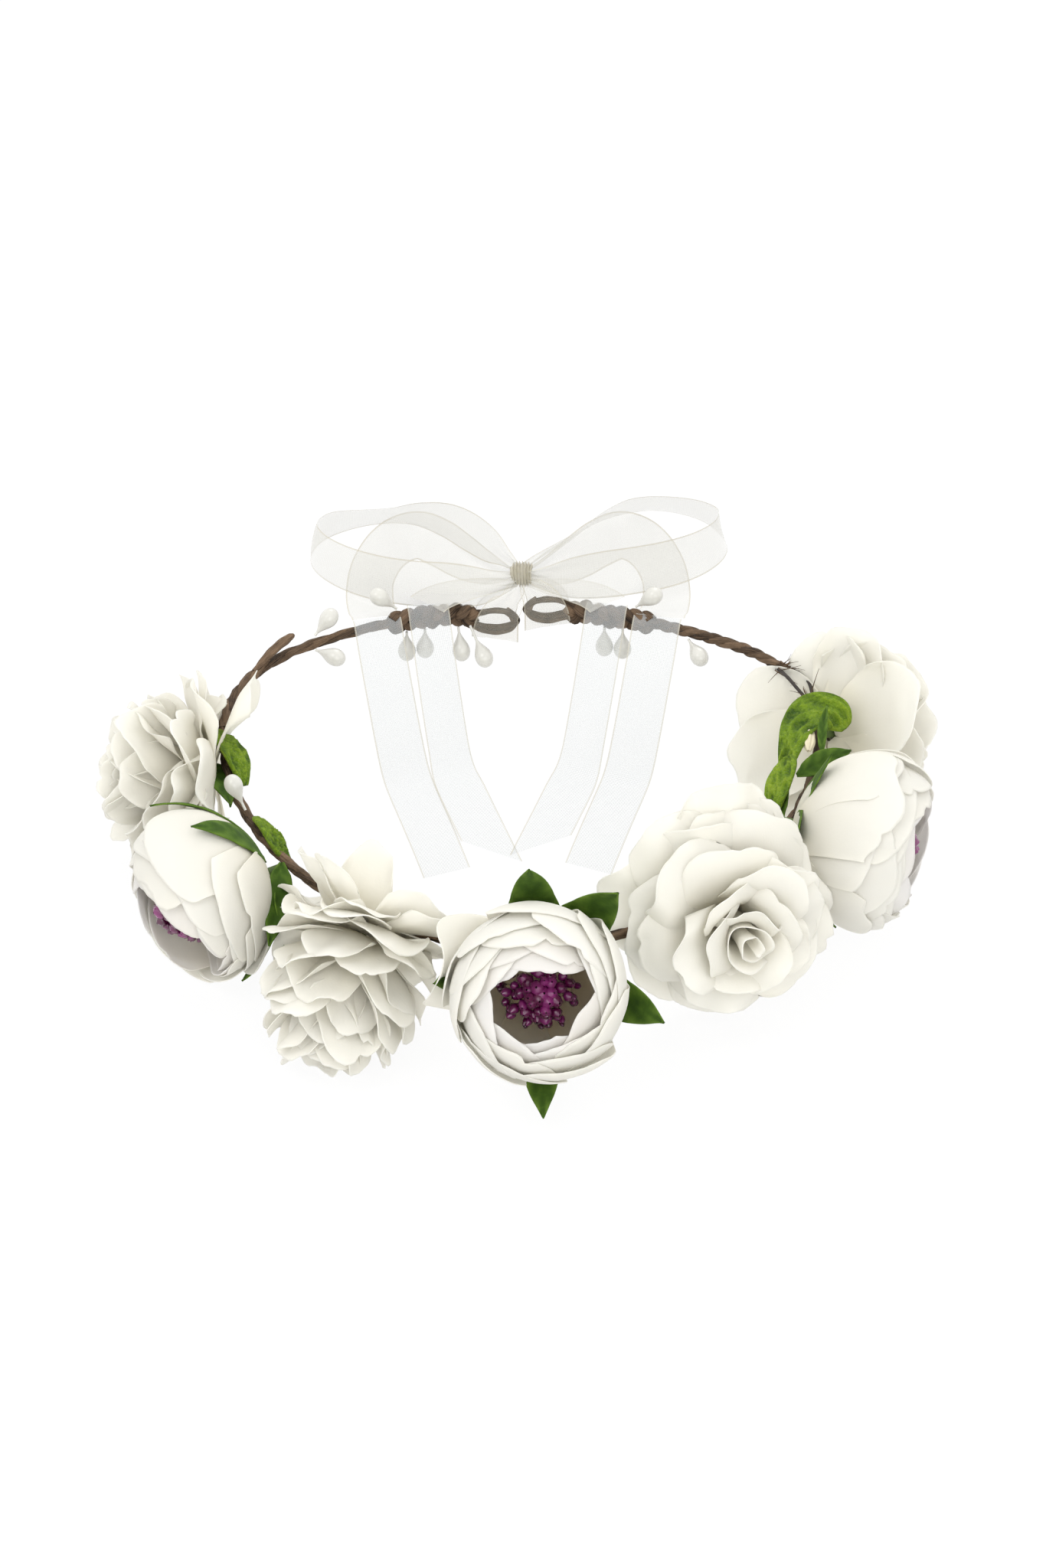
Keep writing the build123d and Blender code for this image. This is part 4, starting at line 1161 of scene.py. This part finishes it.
def slant_end(grid, uv, far, cut):
    """Squeeze each column of a tail so that its end is cut on a slant, to one side or the other."""
    v = np.linspace(-1.0, 1.0, grid.shape[1])
    snip = abs(cut) * (1.0 + math.copysign(1.0, cut) * v) / 2.0
    rows = np.arange(len(far), dtype=float)
    for column, share in enumerate((far[-1] - snip) / far[-1]):
        wanted = np.interp(far * share, far, rows)
        low = np.clip(wanted.astype(int), 0, len(far) - 2)
        part = (wanted - low)[:, None]
        grid[:, column] = grid[low, column] * (1 - part) + grid[low + 1, column] * part
        part = part[:, 0]
        uv[:, column, 0] = uv[low, column, 0] * (1 - part) + uv[low + 1, column, 0] * part


def build_tail(name, material):
    """A tail; the inner ones lie higher on the vine, and bow up across their width."""
    crossing, angle, reach, cut, width, kink = TAILS[name]
    inner = "inner" in name
    tilt, bow = (0.10, 0.9) if inner else (0.04, 0.3)
    side = spline([(d, 0.0, z) for d, z in TAIL_SIDE], 200)
    side = side[side[:, 0] <= reach + 0.5]
    far, height = side[:, 0], side[:, 2]
    turn = np.radians(angle + kink * smooth(34.0, 46.0, far))
    if inner:
        height = height + 1.2 * (1.0 - smooth(4.0, 20.0, far)) + 0.5
    else:
        turn = turn + np.radians(1.8 * np.sin(far / reach * math.pi) * np.sign(angle))
    step = np.diff(far, prepend=far[0])
    route = np.stack([crossing + np.cumsum(np.sin(turn) * step),
                      back_y(crossing) - np.cumsum(np.cos(turn) * step), height], 1)
    widths = width + (RIBBON - width) * smooth(30.0, 48.0, far)
    rise = tilt * np.sign(crossing) * (1 - smooth(25.0, 45.0, far))
    across = np.stack([np.cos(turn), np.sin(turn), rise], 1)
    grid, uv = strip(route, widths, across, 21, sag=0.16, seed=sum(map(ord, name)))
    v = np.linspace(-1.0, 1.0, 21)[None, :]
    grid[..., 2] += bow * (1.0 - v ** 2) * (smooth(5.0, 18.0, far) * (1 - smooth(30.0, 44.0, far)))[:, None]
    slant_end(grid, uv, far, cut)
    grid[..., 2] = np.maximum(grid[..., 2], FLOOR_Z + 0.25)
    piece = ribbon_piece(f"tail_{name}", (grid, uv), material)
    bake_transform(piece)


def build_band(hand, sign, z, material, seed):
    """Ribbon round an eye at height z, gathered up to the knot."""
    y = back_y(8.0)
    route = [(1.2, 60.4, 10.8, 4.0), (3.0, y - 1.8, z + 8.6, 8.0), (6.0, y - 3.3, z + 5.2, 12.0),
             (7.6, y - 3.6, z + 1.0, 13.5), (8.0, y - 3.1, z - 3.2, 14.2), (8.1, y - 1.4, z - 6.2, 14.5),
             (8.1, y + 1.2, z - 6.3, 14.5), (8.0, y + 3.2, z - 3.4, 14.2), (7.6, y + 3.5, z + 1.0, 13.0),
             (5.2, y + 3.5, z + 5.2, 10.0), (2.0, y + 3.0, z + 9.0, 6.0), (0.8, 63.6, 10.6, 3.0)]
    rows = spline([(sign * x, *rest) for x, *rest in route], 110)
    way = np.tile([1.0, 0.0, 0.22 * sign], (len(rows), 1))
    part = strip(rows[:, :3], rows[:, 3], way, 21, cup=0.2, pleats=1.0, seed=seed)
    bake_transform(ribbon_piece(f"band_{hand}", part, material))


def build_knot(material):
    """The tight turn of gathered ribbon that holds the loops."""
    rng = np.random.default_rng(9)
    turn = np.linspace(0, TAU, 56, endpoint=False)[:, None]
    across = np.linspace(-1.0, 1.0, 85)[None, :]
    swell = 3.1 - across ** 2 + 0.40 * np.sin(across * 22.0 + 0.5 * np.sin(turn * 2.0)) \
        + 0.25 * wavy(rng, turn, across, 5, 2.4)
    x = 3.1 * across * (1.0 + 0.08 * np.sin(turn)) + 0.25 * np.sin(turn * 2.0)
    grid = np.stack([x, 62.5 + swell * 0.92 * np.cos(turn), 12.0 + 1.28 * swell * np.sin(turn)], -1)
    uv = np.stack(np.broadcast_arrays(turn * 3.5, across * 7.0), -1)
    builder = Builder()
    builder.add_grid(grid * MM, uv, close_rows=True)
    knot = show(builder, "organza_knot", material, "organza", "ribbon_knot", "bow")


# ======================================================================================
# Felt, loose leaves and the bud
# ======================================================================================
def felt_pad(name, outline, up, bends, seed):
    """A soft felt patch: its outline is a list of (x, y, z, half width) along its spine."""
    rng = np.random.default_rng(seed)
    steps, columns = 90, 41
    rows = spline(outline, steps)
    spine = rows[:, :3]
    tangent = unit(np.gradient(spine, axis=0))
    side = unit(np.cross(unit(np.array([up])), tangent))
    normal = np.cross(tangent, side)
    v = np.sin(np.linspace(-1.0, 1.0, columns) * math.pi / 2)[None, :]
    t = np.linspace(0, 1, steps)[:, None]
    half = rows[:, 3:] * (1.0 + 0.05 * wavy(rng, t * 5.0, v, 4, 2.0)) * (4.0 * t * (1 - t) + 1e-4) ** 0.28
    lift = bends * half * v ** 2 + 0.5 * wavy(rng, t * 4.0, v, 5, 1.8)
    lump = 0.55 - np.abs(wavy(rng, t * 13.0, v * 4.0, 6, 1.5)) \
        - 0.4 * np.abs(wavy(rng, t * 40.0, v * 12.0, 6, 1.5))
    grid = spine[:, None] + (half * v)[..., None] * side[:, None] + lift[..., None] * normal[:, None]
    edge = (1.0 - np.abs(v) ** 6) * (1.0 - np.abs(2 * t - 1) ** 10)
    bulge = FELT_THICK / 2.0 * np.sqrt(edge) + 0.03
    normals = grid_normals(grid)
    top = grid + normals * (bulge + rng.normal(0, 0.05, half.shape) + 0.85 * lump * edge)[..., None]
    under = grid - normals * (bulge + rng.normal(0, 0.05, half.shape))[..., None]
    shell = rest_on_floor(np.concatenate([top, under[:, ::-1]], axis=1))
    tint = 0.52 + 0.10 * wavy(rng, t * 6.0, np.linspace(-1, 1, 2 * columns)[None, :], 4, 2.0)
    # painted shade: the top is lighter on the lumps and darker in the dents between them, following the lumps
    # that raise and lower it
    tint[:, :columns] += 0.35 * np.clip(lump, -1.0, 0.6)
    builder = Builder()
    builder.add_grid(shell * MM, np.zeros(tint.shape + (2,)), tint, close_columns=True)
    builder.add_caps(steps, 2 * columns)
    pad = show(builder, name + "_cloth", lime_felt, "felt", name)


# each pad: its outline, the way its upper side looks, how far its edges turn up
FELT = {
    "felt_pad_left_upper": ([(-94.5, 3.0, -1.5, 3.6), (-92.0, -4.0, 2.4, 5.6), (-89.0, -11.5, 3.6, 6.6),
                             (-85.5, -19.0, 2.0, 5.8), (-83.0, -25.0, -2.0, 3.2)], (0.62, 0.1, 0.78), 0.10),
    "felt_pad_left_lower": ([(-78.5, -45.5, 0.8, 2.8), (-76.5, -51.0, 2.8, 4.6), (-73.0, -57.0, 2.0, 4.8),
                             (-69.5, -62.5, -1.5, 2.6)], (0.5, 0.3, 0.8), 0.12),
    "felt_pad_right_upper": ([(98.5, -3.0, 3.0, 5.0), (94.0, -0.5, 6.0, 7.4), (88.0, -1.5, 7.0, 7.6),
                              (84.0, -6.0, 6.2, 6.0), (81.8, -12.0, 4.6, 4.6), (80.0, -18.0, 2.4, 3.6),
                              (78.5, -23.0, -1.0, 2.4)], (-0.25, -0.35, 0.9), 0.10),
    "felt_pad_right_lower": ([(80.5, -17.0, 3.0, 2.8), (79.5, -23.0, 3.6, 4.0), (77.5, -30.0, 2.4, 4.2),
                              (75.5, -37.0, 0.0, 3.4), (75.0, -42.0, -3.0, 2.0)], (-0.55, -0.2, 0.8), 0.14),
}


# loose leaves: base, tip, how far it bows, width, the way its upper side looks, how its tip curls
LOOSE_LEAVES = (
    ((90.5, -18.5, 5.0), (92.4, -1.5, 10.0), 1.2, 3.4, (-0.5, -0.6, 0.6)),
    ((82.5, -28.5, 4.6), (99.0, -20.5, 8.0), 1.6, 7.0, (0.1, -0.5, 0.85), -0.1),
    ((79.5, -29.0, 1.5), (77.0, -44.0, -5.0), 1.0, 5.0, (-0.6, -0.3, 0.75)),
    ((-94.0, -13.0, -3.0), (-87.0, -38.0, 0.5), 1.0, 9.0, (0.3, -0.3, 0.9)),
    ((-71.0, -66.0, 1.0), (-74.5, -93.0, -9.0), 1.0, 9.0, (0.4, -0.5, 0.7)),
)


def build_loose_leaves(material):
    """Ridged blades beside the felt pads."""
    builder, rng = Builder(), np.random.default_rng(44)
    area = sum(leaf(builder, rng, *shape) for shape in LOOSE_LEAVES)
    show(builder, "loose_leaves", material, "leaf_cloth")


def build_bud(material):
    """A ridged cream bud lying along the vine."""
    low, high = (np.array(corner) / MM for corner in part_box("white_bud"))
    t = np.linspace(0.0, 1.0, 28)
    path = (low + high) / 2.0 \
        + np.stack([0.3 * np.sin(t * 3), (t - 0.5) * -11.0, 0.5 * np.sin(t * math.pi)], 1)
    girth = 1.85 * np.sin((t * 0.94 + 0.03) * math.pi) ** 0.55
    builder = Builder()
    add_tube(builder, path, girth, 42,
             ridge=lambda along, around: 1.0 + 0.13 * np.cos(7 * around + 0.12 * along))
    show(builder, "ridged_bud", material, "bud_cream", "white_bud")


# ======================================================================================
# Vine, ribbon and the rest, in their materials
# ======================================================================================
sheer = organza_material("organza", 0.42, (0.60, 0.59, 0.54))
sheer_band = organza_material("organza band", 0.20, (0.66, 0.63, 0.54))
sheer_tail = organza_material("organza tails", 0.36, (0.58, 0.60, 0.60))
dense = organza_material("organza gathered", 0.66, (0.50, 0.46, 0.34))
brown_paper = paper_material()
dark_steel = plain_material("steel wire", (0.05, 0.04, 0.035), 0.45, Metallic=0.6)
pearl = plain_material("berry gloss", (0.66, 0.65, 0.60), 0.22, Coat_Weight=0.5, Coat_Roughness=0.1)
stem_wrap = plain_material("stem wire", (0.10, 0.16, 0.04), 0.6)

build_vine(brown_paper, dark_steel)
# each side: hand, sign of x, loop, height of the eye and of the ribbon round it, how far out the
# lead's tail crosses, how far out the ear reaches
SIDES = (
    ("left", -1.0, LOOP_LEFT, -3.5, -3.5, 29.0, 1.0),
    ("right", 1.0, LOOP_RIGHT, 0.8, 1.4, 26.5, 0.96),
)
for index, (hand, sign, loop, eye_z, band_z, crossing, stretch) in enumerate(SIDES):
    build_braid(hand, sign, eye_z, brown_paper, 81 + 10 * index)
for index, (hand, sign, loop, eye_z, band_z, crossing, stretch) in enumerate(SIDES):
    build_loop(hand, sign, loop, sheer, 61 + index)
build_knot(dense)
for index, (hand, sign, loop, eye_z, band_z, crossing, stretch) in enumerate(SIDES):
    build_ear(hand, sign, stretch, sheer, 63 + index)
    build_lead(hand, sign, crossing, sheer, 65 + index)
    build_band(hand, sign, band_z, sheer_band, 71 + index)
for name in TAILS:
    build_tail(name, sheer_tail)
for index, (name, shape) in enumerate(FELT.items()):
    felt_pad(name, *shape, 100 + index)
build_loose_leaves(leaf_cloth)
build_bud(cream)
for name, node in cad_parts.items():
    if name.endswith("_stem") or name == "berries":
        node.data.materials.clear()
        node.data.materials.append(pearl if name == "berries" else stem_wrap)


# ======================================================================================
# Floor, light and camera
# ======================================================================================
def area_light(name, place, target, size, power):
    """A round lamp that faces its target; lengths in metres, power in watts."""
    lamp = bpy.data.lights.new(name, "AREA")
    lamp.shape = "DISK"
    lamp.size = size
    lamp.energy = power
    light = bpy.data.objects.new(name, lamp)
    bpy.context.scene.collection.objects.link(light)
    light.location = place
    light.rotation_euler = (Vector(target) - Vector(place)).to_track_quat("-Z", "Y").to_euler()


def studio():
    """A white world, a pale floor just under the crown, and three soft lamps."""
    scene = bpy.context.scene
    scene.view_settings.view_transform = "Standard"
    world = bpy.data.worlds.new("studio")
    world.use_nodes = True
    sky = world.node_tree.nodes["Background"]
    sky.inputs["Color"].default_value = (1.0, 1.0, 1.0, 1.0)
    sky.inputs["Strength"].default_value = 1.28
    scene.world = world
    half, low = 6.0, FLOOR_Z * MM - 0.0003
    mesh = bpy.data.meshes.new("studio_floor")
    mesh.from_pydata([(-half, -half, low), (half, -half, low), (half, half, low), (-half, half, low)],
                     [], [(0, 1, 2, 3)])
    m = Nodes("studio floor")
    m.set(Base_Color=(0.10, 0.10, 0.10, 1.0), Roughness=0.9, Specular_IOR_Level=0.0,
          Emission_Color=(1.0, 1.0, 1.0, 1.0), Emission_Strength=0.90)
    mesh.materials.append(m.material)
    floor = bpy.data.objects.new("studio_floor", mesh)
    scene.collection.objects.link(floor)
    area_light("key", (-0.9, -0.8, 1.7), (0, -0.02, 0), 0.9, 5.5)
    area_light("fill", (0.4, -1.8, 1.0), (0, -0.02, 0), 1.4, 7.5)
    area_light("back", (0.3, 1.4, 1.5), (0, 0, 0), 1.0, 5.0)


def camera():
    """The long-lens view: 38 degrees above the horizontal, 314 mm across the picture."""
    lens = bpy.data.cameras.new("camera")
    distance, elevation, across = 2.6, math.radians(38.0), 0.314
    lens.sensor_fit = "HORIZONTAL"
    lens.sensor_width = 36.0
    lens.lens = 36.0 * distance / across
    lens.clip_end = 50.0
    eye = bpy.data.objects.new("camera", lens)
    bpy.context.scene.collection.objects.link(eye)
    target = Vector((0.0005, -0.0269, 0.0))
    eye.location = target + distance * Vector((0, -math.cos(elevation), math.sin(elevation)))
    eye.rotation_euler = (target - eye.location).to_track_quat("-Z", "Y").to_euler()
    bpy.context.scene.camera = eye


studio()
camera()
